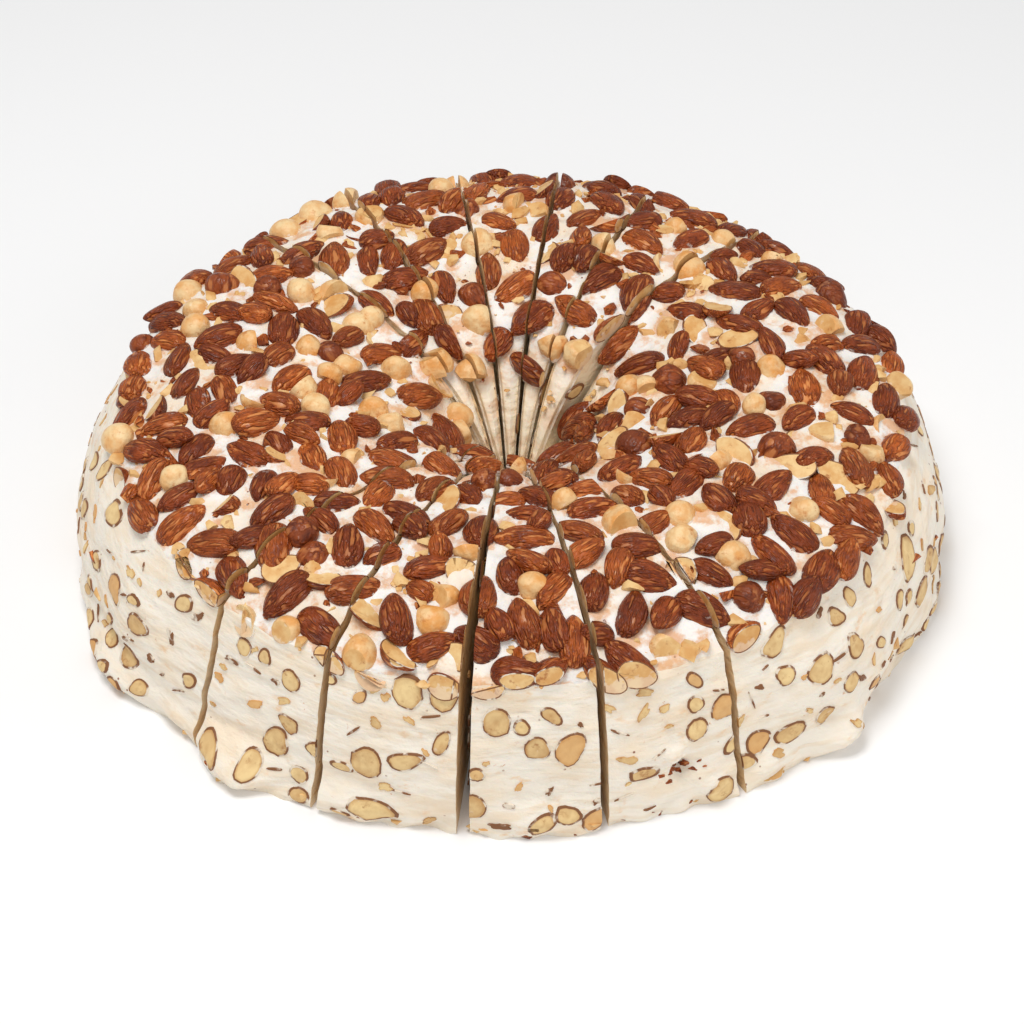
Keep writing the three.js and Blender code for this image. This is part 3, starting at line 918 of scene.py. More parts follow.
# %% Almond and hazelnut in unit sizes
RINGS = 15
SPOKES = 22
ALMOND_POINTED = 0.35  # how much sharper than a ball the pointed end is
ALMOND_TAPER, ALMOND_TAPER_HIGH = 0.24, 0.1  # how much the width and the height grow towards the blunt end
ALMOND_WIDEST = 1.03  # the taper's widest ring, brought back to the unit width
ALMOND_EDGE, ALMOND_EDGE_POINTED = 0.8, 0.3  # the lower, the blunter the outline seen from the side
HAZELNUT_LENGTH, HAZELNUT_POINT, HAZELNUT_POINT_WIDTH = 0.47, 0.03, 0.3
HAZELNUT_BLUNT = 0.92
HAZELNUT_SCAR = -0.43  # where the flat scar cuts the ball off


def ring_solid(profile):
    """Points and faces of a closed shape round the X axis. profile(phi): x, half width and half height."""
    turns = np.linspace(0, 2 * math.pi, SPOKES, endpoint=False)
    points, faces = [(profile(0.0)[0], 0, 0)], []
    for ring in range(1, RINGS):
        x, wide, high = profile(math.pi * ring / RINGS)
        points += [(x, wide * math.cos(t), high * math.sin(t)) for t in turns]
    points.append((profile(math.pi)[0], 0, 0))
    for ring in range(RINGS - 2):
        for spoke in range(SPOKES):
            a, b = 1 + ring * SPOKES + spoke, 1 + ring * SPOKES + (spoke + 1) % SPOKES
            faces.append((a, b, b + SPOKES, a + SPOKES))
    last, start = len(points) - 1, 1 + (RINGS - 2) * SPOKES
    for spoke in range(SPOKES):
        beside = (spoke + 1) % SPOKES
        faces.append((0, 1 + beside, 1 + spoke))
        faces.append((last, start + spoke, start + beside))
    return np.array(points), faces


def almond_profile(phi):
    pointed = 1 + ALMOND_POINTED * (1 + math.cos(phi)) / 2
    wide = 0.5 * math.sin(phi) ** pointed * (1 - ALMOND_TAPER * math.cos(phi)) / ALMOND_WIDEST
    edge = ALMOND_EDGE + ALMOND_EDGE_POINTED * pointed
    high = 0.5 * math.sin(phi) ** edge * (1 - ALMOND_TAPER_HIGH * math.cos(phi))
    return 0.5 * math.cos(phi), wide, high


def hazelnut_profile(phi):
    point = HAZELNUT_POINT * math.exp(-((phi / HAZELNUT_POINT_WIDTH) ** 2))
    wide = 0.5 * math.sin(phi) ** HAZELNUT_BLUNT
    return max(HAZELNUT_LENGTH * math.cos(phi) + point, HAZELNUT_SCAR), wide, wide


ALMOND_SHAPE = ring_solid(almond_profile)
HAZELNUT_SHAPE = ring_solid(hazelnut_profile)
print("an almond has", len(ALMOND_SHAPE[1]), "faces")

# %% [markdown]
# ## No two nuts alike
#
# Each nut gets its own dents: a few slow waves that cross it in random directions push its points in and
# out. An almond also gets flutes, the shallow grooves that run from end to end. Then it is laid on the
# nougat: its up direction follows the slope, leaning a little, and its middle sits just above the surface.

# %% Dents and place of a nut
DENT_WAVES = 4
DENT_RATE = 3.2  # radians of a wave over a nut's length, typically
DENT_DEPTH = 0.034
HAZELNUT_DENT = 0.065
FLUTES = 7
FLUTE_DEPTH, FLUTE_TWIST = 0.02, 3
CURL_SIDEWAYS, CURL_UP = 0.12, 0.10  # how much nuts are bent like bananas
CURL_MIDDLE = 0.12  # moves a bent nut back over its place
HAZELNUT_SUNK = 1.0  # hazelnuts are pressed a little deeper than the coarse ones
SLOPE_STEP = 3.0


def dented(points, chance, fluted):
    waves = chance.normal(0, DENT_RATE, (DENT_WAVES, 3))
    phases = chance.uniform(0, 2 * math.pi, DENT_WAVES)
    swelling = 1 + (DENT_DEPTH if fluted else HAZELNUT_DENT) * np.sin(points @ waves.T + phases).sum(1)
    if fluted:
        turn = np.arctan2(points[:, 2], points[:, 1])
        swelling += FLUTE_DEPTH * np.sin(FLUTES * turn + FLUTE_TWIST * points[:, 0] + phases[0])
    bent = points.copy()
    bent[:, 1:] *= swelling[:, None]
    for axis, curl in ((1, CURL_SIDEWAYS), (2, CURL_UP)):
        bent[:, axis] += chance.normal(0, curl) * (points[:, 0] ** 2 - CURL_MIDDLE)
    return bent


def nut_matrix(nut, piece):
    """Turns and places a nut in millimetres: columns ahead, left and up, then its middle."""
    x, y = nut["x"], nut["y"]

    def slope(dx, dy):
        return float(nougat_top(x + dx, y + dy, piece) - nougat_top(x - dx, y - dy, piece)) / (2 * SLOPE_STEP)

    lean_x, lean_y = nut["lean"]
    up = Vector((lean_x - slope(SLOPE_STEP, 0), lean_y - slope(0, SLOPE_STEP), 1)).normalized()
    ahead = Vector((math.cos(nut["heading"]), math.sin(nut["heading"]), 0))
    left = up.cross(ahead).normalized()
    ahead = left.cross(up)
    middle = float(nougat_top(x, y, piece)) + NUT_SINK * nut["size"][2] + nut["lift"]
    if not nut["almond"]:
        middle -= HAZELNUT_SUNK
    matrix = Matrix((ahead, left, up)).transposed().to_4x4()
    matrix.translation = (x, y, middle)
    return matrix


print("the first nut's middle, in mm:", [round(c, 1) for c in nut_matrix(nuts[0], pieces[0]).translation])

# %% [markdown]
# ## Nuts that the knife met
#
# A nut across a cut was cut with it. Its mesh is bisected by the plane of each cut face that it crosses, and
# the opening is filled. All planes cut before any fill is inset, because a second cut through an inset face
# would tear it. The inset leaves a thin ring of skin round the pale flesh, and a second one sinks the
# flesh of a half hazelnut, which is hollow. The nuts that stood over the trimmed side are cut the same way,
# by a plane that lies on the side.

# %% Cut a nut
SKIN, FLESH, RIND = 0, 1, 2
RIND_THICKNESS = 0.45
TRIM_PROUD = 0.35  # how far a trimmed nut's face stands out of the nougat
SMALLEST_REST = 2.0  # mm of a cut nut that is worth keeping
MOSTLY = 0.5  # share of the bulge under which a nut's part of the side counts as trimmed


def trim_plane(nut):
    """The plane of the trimmed side at a nut's angle."""
    turn = math.atan2(nut["y"], nut["x"])
    outward = Vector((math.cos(turn), math.sin(turn), 0))
    lean = TRIM_ROUNDING * (TRIMMED_RADIUS - RIM_RADIUS) / RIM_HEIGHT
    point = (RIM_RADIUS + TRIM_PROUD) * outward + Vector((0, 0, RIM_HEIGHT))
    return point, (outward + Vector((0, 0, lean))).normalized()


def inset(cutter, face, thickness, depth=0.0):
    """Insets a flat face, by less where it is narrow, and returns the faces round it."""
    thickness = min(thickness, face.calc_area() / face.calc_perimeter())
    return bmesh.ops.inset_individual(cutter, faces=[face], thickness=thickness, depth=depth)["faces"]


def cut_by(points, faces, planes, hollow=0.0):
    """The part of a closed mesh behind all planes, with each cut face sunk by so many millimetres.

    Returns points, faces and a finish number per face. The points stay in the box of the uncut mesh.
    """
    cutter = bmesh.new()
    corners = [cutter.verts.new(p) for p in points]
    for face in faces:
        cutter.faces.new([corners[i] for i in face])
    for point, normal in planes:
        whole = cutter.verts[:] + cutter.edges[:] + cutter.faces[:]
        made = bmesh.ops.bisect_plane(cutter, geom=whole, plane_co=point, plane_no=normal, clear_outer=True)
        edge = [e for e in made["geom_cut"] if isinstance(e, bmesh.types.BMEdge)]
        if edge:
            for face in bmesh.ops.holes_fill(cutter, edges=edge, sides=0)["faces"]:
                face.material_index = FLESH
    bmesh.ops.recalc_face_normals(cutter, faces=cutter.faces[:])
    for face in [face for face in cutter.faces if face.material_index == FLESH]:
        for side in inset(cutter, face, RIND_THICKNESS):
            side.material_index = RIND
        if hollow:
            inset(cutter, face, 2 * hollow, -hollow)
    cutter.verts.index_update()
    left = np.clip([v.co[:] for v in cutter.verts], points.min(0), points.max(0)).reshape(-1, 3)
    shapes = [[v.index for v in face.verts] for face in cutter.faces]
    finishes = [face.material_index for face in cutter.faces]
    cutter.free()
    return left, shapes, finishes


def outside_by(points, plane):
    point, normal = plane
    return (points - np.array(point)) @ np.array(normal)


def part_in(piece, nut, points, faces, own_planes, hollow):
    """What a piece of cake has of a nut that its own planes cut first, or None."""
    planes = list(piece["planes"])
    angle = math.degrees(math.atan2(nut["y"], nut["x"]))
    if bulge_share(np.array([angle]), piece)[0] < MOSTLY:
        planes.append(trim_plane(nut))
    reach = [outside_by(points, plane) for plane in planes]
    if any(outside.min() > -SMALLEST_REST for outside in reach):
        return None
    crossed = [plane for plane, outside in zip(planes, reach) if outside.max() > 0]
    if own_planes or crossed:
        return cut_by(points, faces, own_planes + crossed, hollow)
    return points, faces, [SKIN] * len(faces)


print("a trimmed nut stands", TRIM_PROUD, "mm out of the side")

# %% [markdown]
# ## Gather the nuts by kind
#
# Hundreds of nuts as objects of their own would be slow, so all nuts of one kind are joined into one mesh.
# Each point keeps three things for the finish: where it is on its own nut, a tone that its nut was dealt,
# and how far it stands above the nougat. The finish then gives every nut its own grain and roast, and
# smears nougat on its foot.

# %% A heap that becomes one mesh
class Heap:
    """Parts of one kind, gathered and then joined."""

    def __init__(self, name):
        self.name = name
        self.points, self.faces, self.finishes = [], [], []
        self.grain, self.tone, self.above = [], [], []
        self.count = 0

    def add(self, points, faces, finishes, grain, tone, above):
        start = sum(map(len, self.points))
        self.points.append(points)
        self.faces += [[start + i for i in face] for face in faces]
        self.finishes += finishes
        self.grain.append(grain)
        self.tone.append(np.full(len(points), tone))
        self.above.append(above)
        self.count += 1

    def build(self, materials, slot):
        thing = mesh_object(self.name, np.concatenate(self.points), self.faces)
        mesh = thing.data
        for material in materials:
            mesh.materials.append(material)
        mesh.polygons.foreach_set("material_index", self.finishes)
        grain = mesh.attributes.new("grain", "FLOAT_VECTOR", "POINT")
        grain.data.foreach_set("vector", (np.concatenate(self.grain) * MM).ravel())
        for name, values in (("tone", self.tone), ("above", self.above)):
            layer = mesh.attributes.new(name, "FLOAT", "POINT")
            layer.data.foreach_set("value", np.concatenate(values))
        mesh.set_sharp_from_angle(angle=SHARP_EDGE)
        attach(thing, "root")
        triangles = sum(len(face) - 2 for face in self.faces)
        print(f"{self.name}: {self.count} parts, {triangles} triangles")
        return thing


# %% [markdown]
# ## Sort the nuts and break some
#
# A tray of nuts is never of one kind. Almonds have a lighter or darker roast. Round nuts are mostly blanched
# hazelnuts, and some still have their skin or are short almonds. Blanched hazelnuts lose flakes, and many of
# the small nuts on top are halves. A flake or a half is made by a plane in the nut's own coordinates, which
# turns with the nut and then cuts it like a knife.

# %% Kinds, halves and flakes
LIGHT_ALMONDS = 0.45  # share of almonds with a lighter roast
BLANCHED = 0.58  # share of round nuts that are hazelnuts without their skin
BROWN = 0.17  # share of round nuts that are hazelnuts with it; the rest are short almonds
SHORT_ALMOND = np.array((16.5, 12.3, 9.5))
CHIPPED = 0.65  # share of blanched hazelnuts that lost a flake or two
FLAKE_FROM, FLAKE_TO = 0.12, 0.36  # how far from its middle, as a share of its size
HALVED = 0.4  # share of the second layer's nuts that are halves
HALF_LEAN = (0.25, 0.35)  # how far the plane of a half leans along and across the nut
HAZELNUT_HOLLOW = 1.3
ALMOND_ROLL = 0.3  # radians about its long axis, typically
HAZELNUT_TIPPED = 1.2  # radians, at most, by which a hazelnut's point is turned up or down


def kind_of(nut, chance):
    """The heap that a nut belongs to. Some round nuts turn out to be short almonds."""
    pick = chance.uniform()
    if not nut["almond"] and pick >= BLANCHED + BROWN:
        nut["almond"] = True
        nut["size"] = SHORT_ALMOND * nut["size"][0] / HAZELNUT[0]
        pick = chance.uniform()
    if nut["almond"]:
        return "almonds_light" if pick < LIGHT_ALMONDS else "almonds_dark"
    return "hazelnuts_blanched" if pick < BLANCHED else "hazelnuts_brown"


def own_turn(nut, chance):
    """How a nut had rolled before it was pressed in."""
    if nut["almond"]:
        return Matrix.Rotation(chance.normal(0, ALMOND_ROLL), 3, "X")
    about_up = Matrix.Rotation(chance.uniform(0, 2 * math.pi), 3, "Z")
    return about_up @ Matrix.Rotation(chance.uniform(-HAZELNUT_TIPPED, HAZELNUT_TIPPED), 3, "Y")


def flake_planes(chance, size):
    """One or two planes that chip a nut near its outside."""
    planes = []
    for _ in range(chance.integers(1, 3)):
        outward = Vector(chance.normal(0, 1, 3)).normalized()
        planes.append((outward * size * chance.uniform(FLAKE_FROM, FLAKE_TO), outward))
    return planes


def own_cuts(nut, kind, chance):
    """Planes, in a nut's own coordinates, that halved or chipped it, and how far its cut faces are sunk."""
    in_second_layer = nut["lift"] > 0
    if in_second_layer and chance.uniform() < HALVED:
        tilt = Vector((chance.normal(0, HALF_LEAN[0]), chance.normal(0, HALF_LEAN[1]), 1)).normalized()
        return [(Vector((0, 0, 0)), tilt)], 0.0 if nut["almond"] else HAZELNUT_HOLLOW
    if kind == "hazelnuts_blanched" and chance.uniform() < CHIPPED:
        return flake_planes(chance, nut["size"][0]), 0.0
    return [], 0.0


print("short almonds:", round(100 * (1 - BLANCHED - BROWN)), "% of the round nuts")

# %% [markdown]
# ## Lay every nut
#
# A nut is dented, rolled and broken once, and then laid on each piece of cake that it touches. Where two
# pieces share a nut, each keeps its own side of the cut. The slices behind were pushed up after the knife,
# so the two sides of such a nut lie at different heights. A nut that would reach past the top of the CAD
# model's box is lowered. Each nut has a random generator with its own number as the seed, so changing one
# nut never changes another.

# %% Lay every nut
CUT_NUT_KEPT = 4  # mm by which a nut's middle may be outside a piece that has a part of it
GRAIN_SPREAD = 400.0  # mm between the grain of different nuts
TOP_MARGIN = 0.15
TOP_OF_BOX = cad_box[1].z / MM - TOP_MARGIN
HEAP_NAMES = ("almonds_dark", "almonds_light", "hazelnuts_blanched", "hazelnuts_brown")

heaps = {name: Heap(name) for name in HEAP_NAMES}


def lay(nut, chance):
    """Shapes a nut, lays it on each piece under it, and adds the parts to its heap."""
    heap = heaps[kind_of(nut, chance)]
    shape, faces = ALMOND_SHAPE if nut["almond"] else HAZELNUT_SHAPE
    shape = dented(shape, chance, nut["almond"]) * nut["size"]
    turn = own_turn(nut, chance)
    tone, offset = chance.uniform(), chance.uniform(-GRAIN_SPREAD, GRAIN_SPREAD, 3)
    planes, hollow = own_cuts(nut, heap.name, chance)
    for piece in pieces:
        if inside_by(nut["x"], nut["y"], piece) < -CUT_NUT_KEPT:
            continue
        place = nut_matrix(nut, piece) @ turn.to_4x4()
        spin, middle = np.array(place.to_3x3()), np.array(place.translation)
        points = shape @ spin.T + middle
        own_planes = [(place @ point, place.to_3x3() @ normal) for point, normal in planes]
        kept = np.ones(len(points), bool)
        for plane in own_planes:
            kept &= outside_by(points, plane) <= 0
        drop = max(points[kept, 2].max() - TOP_OF_BOX, 0)
        points[:, 2] -= drop
        own_planes = [(point - Vector((0, 0, drop)), normal) for point, normal in own_planes]
        part = part_in(piece, nut, points, faces, own_planes, hollow)
        if part is None or len(part[0]) == 0:
            continue
        left, left_faces, left_finishes = part
        grain = (left - middle) @ spin + offset
        above = left[:, 2] - nougat_top(left[:, 0], left[:, 1], piece)
        heap.add(left, left_faces, left_finishes, grain, tone, above)


for number, nut in enumerate(nuts):
    lay(nut, np.random.default_rng(number))
print("laid", sum(heap.count for heap in heaps.values()), "nuts and parts of nuts")

# %% [markdown]
# ## Skins
#
# An almond's skin is a warm red-brown with wrinkles from end to end, and glossy from roasting. Its grooves
# are darker, partly the skin's own colour and partly painted shade, and its ridges are tan, partly the
# skin's own colour and partly painted highlight. The wrinkles are noise that is stretched along the nut, in
# the coordinates that each nut kept. Grooves are drawn where that noise crosses its middle value, which
# gives lines that join and part. Near the nougat a nut carries a thin white smear, with a ragged edge.

# %% Finish of a skin
# name: (in the grooves, with painted shade; between; on the ridges, with painted highlight)
SKIN_COLOURS = {
    "almond_skin_dark": (srgb(68, 14, 3), srgb(160, 73, 27), srgb(220, 142, 76)),
    "almond_skin_light": (srgb(84, 22, 4), srgb(190, 95, 36), srgb(236, 164, 96)),
    "hazelnut_skin": (srgb(70, 20, 6), srgb(154, 74, 32), srgb(214, 138, 80)),
}
WORN_TAN = srgb(214, 156, 104)
WORN_PATTERN, WORN_STRETCH, WORN_SHARE = (600, 4, 0.7, 0.64, 0.74), 0.4, 0.6
DARKER_PATTERN, DARKER_SHARE = (150, 3, 0.5, 0.38, 0.7), 0.45  # dark patches between the grooves
DARKER_TONE = 0.36  # how much of the groove's colour the darkest nut takes on
GROOVE_WIDTH, GROOVE_SHARE = 0.075, 0.7  # the width as a difference of the noise from its middle value
BROKEN_PATTERN, BROKEN_SHARE = (260, 2, 0.5, 0.38, 0.6), 0.1  # where grooves fade, and what is left of them
RIDGE_BETWEEN, RIDGE_SHARE = (0.09, 0.22), 0.6
RIDGE_TOP = 0.16  # difference at which the wrinkle's height ends
SKIN_GRAIN_BUMP = (900, 3), (0.2, 0.6)
SKIN_GLOSS_PATTERN, SKIN_GLOSS_RANGE = (330, 2, 0.5, 0.35, 0.65), 0.22
SKIN_SHINE = 0.3
RAGGED_PATTERN, RAGGED_BY = (420, 4, 0.5, 0.3, 0.7), 0.0012  # edge of a smear, in metres
SMEAR_FROM, SMEAR_TO = 0.0006, 0.0014  # metres above the nougat between which its smears end
FILM_PATTERN = (170, 5, 0.65, 0.64, 0.78)


def smeared(f, colour, grain, film_share=0.45, foot_share=0.6):
    """Nougat on the foot of a nut, with a ragged edge, and a thin film on some of it."""
    height = f.maths("MULTIPLY", f.number("above"), MM)
    ragged = f.maths("ADD", height, f.pattern(grain, RAGGED_PATTERN, RAGGED_BY, -RAGGED_BY))
    foot = f.between(ragged, SMEAR_FROM, SMEAR_TO, foot_share, 0)
    film = f.pattern(grain, FILM_PATTERN, 0, film_share)
    return f.mixed(f.maths("MAXIMUM", foot, film), colour, NOUGAT_WHITE)


def skin_colour(f, name, grain, off_middle):
    """off_middle is how far the wrinkle noise is from its middle value: 0 in a groove, more on a ridge."""
    groove_dark_and_shade, middle_colour, ridge_tan_and_highlight = SKIN_COLOURS[name]
    grooved = f.between(off_middle, 0, GROOVE_WIDTH, 1, 0)
    grooved = f.maths("MULTIPLY", grooved, f.pattern(grain, BROKEN_PATTERN, BROKEN_SHARE, 1))
    colour = f.mixed(f.pattern(grain, DARKER_PATTERN, 0, DARKER_SHARE), middle_colour, groove_dark_and_shade)
    # the skin's own lines, with painted highlight on the ridges and painted shade in the grooves
    colour = f.mixed(f.between(off_middle, *RIDGE_BETWEEN, 0, RIDGE_SHARE), colour, ridge_tan_and_highlight)
    colour = f.mixed(f.maths("MULTIPLY", grooved, GROOVE_SHARE), colour, groove_dark_and_shade)
    colour = f.mixed(f.between(f.number("tone"), 0, 1, 0, DARKER_TONE), colour, groove_dark_and_shade)
    worn = f.pattern(f.stretch(grain, x=WORN_STRETCH), WORN_PATTERN, 0, WORN_SHARE)
    return f.mixed(worn, colour, WORN_TAN)


def skin_finish(name, stretched, line_scale, gloss, wrinkle=0.8):
    """stretched is how far wrinkles are drawn out: the lower, the longer. wrinkle is their height in mm."""
    f = Finish(name)
    grain = f.places("grain")
    lines = f.noise(f.stretch(grain, x=stretched), line_scale, detail=2)
    off_middle = f.maths("ABSOLUTE", f.maths("SUBTRACT", lines, 0.5))
    colour = smeared(f, skin_colour(f, name, grain, off_middle), grain)
    normal = f.bump(f.between(off_middle, 0, RIDGE_TOP), wrinkle)
    grain_noise, grain_bump = SKIN_GRAIN_BUMP
    normal = f.bump(f.noise(grain, *grain_noise), *grain_bump, onto=normal)
    rough = f.pattern(grain, SKIN_GLOSS_PATTERN, gloss, gloss + SKIN_GLOSS_RANGE)
    return f.surface(colour, rough, normal, SKIN_SHINE)


almond_dark = skin_finish("almond_skin_dark", 0.2, 520, 0.28)
almond_light = skin_finish("almond_skin_light", 0.2, 520, 0.3)
hazel_brown = skin_finish("hazelnut_skin", 0.35, 300, 0.28, wrinkle=0.4)
print("skins:", list(SKIN_COLOURS))

# %% [markdown]
# ## Flesh
#
# Blanched hazelnuts are golden, with toasted patches. Flesh that was broken is a little browner. Flesh that
# the knife cut is more matt, and golden in the few nuts that were roasted longest. One recipe serves all
# three, because they differ only in colour, in gloss and in how much nougat is smeared on them. The cut edge
# of a skin, the rind, is a thin brown line that nougat hides here and there.

# %% Finishes of flesh and rind
# (patches, other patches, toasted)
BLANCHED_COLOURS = (srgb(226, 156, 80), srgb(242, 212, 160), srgb(196, 118, 52))
FLESH_COLOURS = (srgb(214, 156, 88), srgb(238, 202, 142), srgb(166, 94, 42))
SECTION_COLOURS = (srgb(186, 134, 76), srgb(240, 210, 152), srgb(176, 118, 64))
PATCH_NOISE, PATCH_BETWEEN = (190, 4, 0.55), (0.35, 0.65)
TOASTED_PATTERN, TOASTED_SHARE = (260, 5, 0.65, 0.56, 0.72), 0.8
GOLDEN = srgb(216, 152, 84)  # of the few cut nuts that were roasted longest
GOLDEN_ABOVE, GOLDEN_SHARE = (4.9, 5.5), 0.55  # they are the ones with the highest "above"
FLESH_BUMP_NOISE, FLESH_BUMP_STRENGTH = (480, 4), 0.8
FLESH_SHINE = 0.35
RIND_COLOUR = srgb(128, 80, 42)
RIND_HIDDEN = srgb(240, 228, 208)
RIND_PATTERN, RIND_HIDDEN_SHARE = (230, 3, 0.5, 0.5, 0.62), 0.85
RIND_ROUGHNESS = 0.6


def flesh_finish(name, colours, gloss, film_share=0.5, foot_share=0.9, bumps=0.3, toned=0.4):
    """toned is how much of the way between the two first colours is dealt to a nut as a whole."""
    first, second, toasted = colours
    f = Finish(name)
    grain = f.places("grain")
    tone = f.between(f.number("tone"), 0, 1, 0, toned)
    patched = f.pattern(grain, (*PATCH_NOISE, *PATCH_BETWEEN), 0, 1 - toned)
    colour = f.mixed(f.maths("ADD", patched, tone), first, second)
    colour = f.mixed(f.pattern(grain, TOASTED_PATTERN, 0, TOASTED_SHARE), colour, toasted)
    if name == "cut_nut":
        colour = f.mixed(f.between(f.number("above"), *GOLDEN_ABOVE, 0, GOLDEN_SHARE), colour, GOLDEN)
    normal = f.bump(f.noise(grain, *FLESH_BUMP_NOISE), bumps, FLESH_BUMP_STRENGTH)
    return f.surface(smeared(f, colour, grain, film_share, foot_share), gloss, normal, FLESH_SHINE)


def rind_finish():
    f = Finish("rind")
    hidden = f.pattern(f.places("grain"), RIND_PATTERN, 0, RIND_HIDDEN_SHARE)
    return f.surface(f.mixed(hidden, RIND_COLOUR, RIND_HIDDEN), RIND_ROUGHNESS)


hazel_blanched = flesh_finish("hazelnut_blanched", BLANCHED_COLOURS, 0.4, bumps=0.8)
flesh = flesh_finish("nut_flesh", FLESH_COLOURS, 0.5, foot_share=0.25)
section_flesh = flesh_finish("cut_nut", SECTION_COLOURS, 0.6, film_share=0.35, foot_share=0, toned=0.7)
rind = rind_finish()

heaps["almonds_dark"].build((almond_dark, flesh, rind), "almond_skin")
heaps["almonds_light"].build((almond_light, flesh, rind), "almond_skin")
heaps["hazelnuts_brown"].build((hazel_brown, flesh, rind), "hazelnut_skin")
heaps["hazelnuts_blanched"].build((hazel_blanched, flesh, flesh), "nut_flesh")

# %% [markdown]
# ## Cut nuts in the side
#
# The wheel is full of nuts, and wherever it was trimmed or cut they show as pale ovals with a thin broken
# brown rim. Between them are chips of nut, bits of dark skin, and slivers, which are skins seen edge on. Each
# is a thin lens that follows the surface it lies in, a little proud of it. One recipe draws it in flat
# coordinates, right and up, and a second function bends it onto the side or a cut face.

# %% One cut nut as a lens
SECTION_SPOKES = 20
SECTION_PROUD = 0.42
SECTION_ROUNDED = 0.1  # how much higher a lens is two thirds out, and lower at its edge
SECTION_DIP = 0.12  # of a hazelnut's hollow middle, still above the nougat
SECTION_HOLLOW = 0.5  # share of the hazelnuts that show it
SECTION_SUNK = -0.9
SECTION_RIND = (0.4, 0.75)  # mm
SECTION_POINTED = 0.12  # of almonds
SECTION_UNEVEN = (0.06, 0.05, 0.025)  # of the edge, in two bends, in three, and from spoke to spoke
CHIP_RAGGED = (0.55, 1.2)
DARK_CHIPS = 0.25  # share of the small ones that are bits of brown skin
SECTION_TONES = (0.7, 1.0, 0.9, 0.3, 0.1, 0.1)  # from the middle of a lens to its edge
RIND_RING = 2  # rings from this one on are rind


def section_edge(chance, turn, kind):
    """How far out the edge of a lens is at each of its spokes, as a share of its half length and width."""
    edge = 1 + (SECTION_POINTED if kind == "almond" else 0) * np.cos(turn) ** 3
    for bends, uneven in zip((2, 3), SECTION_UNEVEN):
        edge += chance.normal(0, uneven) * np.sin(bends * turn + chance.uniform(0, 6))
    edge += chance.normal(0, SECTION_UNEVEN[2], SECTION_SPOKES)
    if kind == "chip":
        edge *= chance.uniform(*CHIP_RAGGED, SECTION_SPOKES // 2).repeat(2)
    return edge


def lens_faces(ring_count, dark, with_rind):
    """Faces of rings round a middle point, closed below, and a finish number per face."""
    faces, finishes = [], []
    for spoke in range(SECTION_SPOKES):
        beside = (spoke + 1) % SECTION_SPOKES
        faces.append((0, 1 + spoke, 1 + beside))
        finishes.append(SKIN if dark else FLESH)
        for ring in range(ring_count - 1):
            a, b = 1 + ring * SECTION_SPOKES + spoke, 1 + ring * SECTION_SPOKES + beside
            faces.append((a, a + SECTION_SPOKES, b + SECTION_SPOKES, b))
            finishes.append(SKIN if dark or ring >= RIND_RING and with_rind else FLESH)
    base = 1 + (ring_count - 1) * SECTION_SPOKES
    faces.append([base + spoke for spoke in reversed(range(SECTION_SPOKES))])
    finishes.append(SKIN)
    return faces, finishes


def section_lens(chance, half_length, half_width, kind):
    """Flat coordinates and height of each point, faces, a finish number per face and a tone per point."""
    turn = np.linspace(0, 2 * math.pi, SECTION_SPOKES, endpoint=False)
    edge = section_edge(chance, turn, kind)
    rind_width = 0.0 if kind in ("chip", "sliver") else chance.uniform(*SECTION_RIND)
    dark = kind == "sliver" or kind == "chip" and chance.uniform() < DARK_CHIPS
    hollow = kind == "hazelnut" and chance.uniform() < SECTION_HOLLOW
    rings = (  # share of the way out, and height
        (0.28, SECTION_PROUD),
        (0.7, SECTION_PROUD + SECTION_ROUNDED),
        (1 - rind_width / min(half_length, half_width), SECTION_PROUD),
        (0.99, SECTION_PROUD - SECTION_ROUNDED),
        (1.02, SECTION_SUNK),
    )
    points, tones = [(0, 0, SECTION_DIP if hollow else SECTION_PROUD)], [SECTION_TONES[0]]
    for (share, height), tone in zip(rings, SECTION_TONES[1:]):
        right, up = half_length * share * edge * np.cos(turn), half_width * share * edge * np.sin(turn)
        points += [(a, b, height) for a, b in zip(right, up)]
        tones += [tone] * SECTION_SPOKES
    faces, finishes = lens_faces(len(rings), dark, kind != "chip")
    return np.array(points), faces, finishes, np.array(tones) * chance.uniform(0.5, 1)


print("a lens has", len(section_lens(np.random.default_rng(0), 8, 5, "almond")[1]), "faces")

# %% [markdown]
# ## Scatter the cut nuts
#
# A nut is cut at a random height and slant, so its oval is anything from a small round tip to its full
# length. A sheet is taken as flat, places are drawn on it, and each is kept if no other is too near. That is
# simpler than scattering on a bent surface, and the side bends so slowly that little is stretched.

# %% Places for the ovals
SECTION_SEED = 88
SECTION_CLEARANCE = 0.86
SECTION_TRIES = 3  # times as many as are wanted
SECTION_FLOOR = 3.5
SECTION_TILT = 0.5
SECTION_LOWEST = 0.6  # mm above the floor
SECTION_ABOVE = (1.5, 6)  # dealt as a height over the nougat: it keeps smears off and picks the golden ones
SLIVER_SHARE = 0.14
CHIP_SHARE = 0.3
HAZELNUT_SECTIONS = 0.2
CHIP_FLATNESS = 0.7


def draw_section(chance):
    """A kind, with its half length and half width in millimetres."""
    pick = chance.uniform()
    if pick < SLIVER_SHARE:
        return "sliver", chance.uniform(1.5, 4.5), chance.uniform(0.25, 0.45)
    if pick < SLIVER_SHARE + CHIP_SHARE:
        size = chance.uniform(0.8, 2.6)
        return "chip", size * chance.uniform(1.0, 2.0), size * CHIP_FLATNESS
    if pick < SLIVER_SHARE + CHIP_SHARE + HAZELNUT_SECTIONS:
        size = chance.uniform(3.0, 6.4)
        return "hazelnut", size, size * chance.uniform(0.8, 1)
    size = chance.uniform(1.8, 5.0)
    return "almond", size * chance.uniform(1.25, 2.1), size


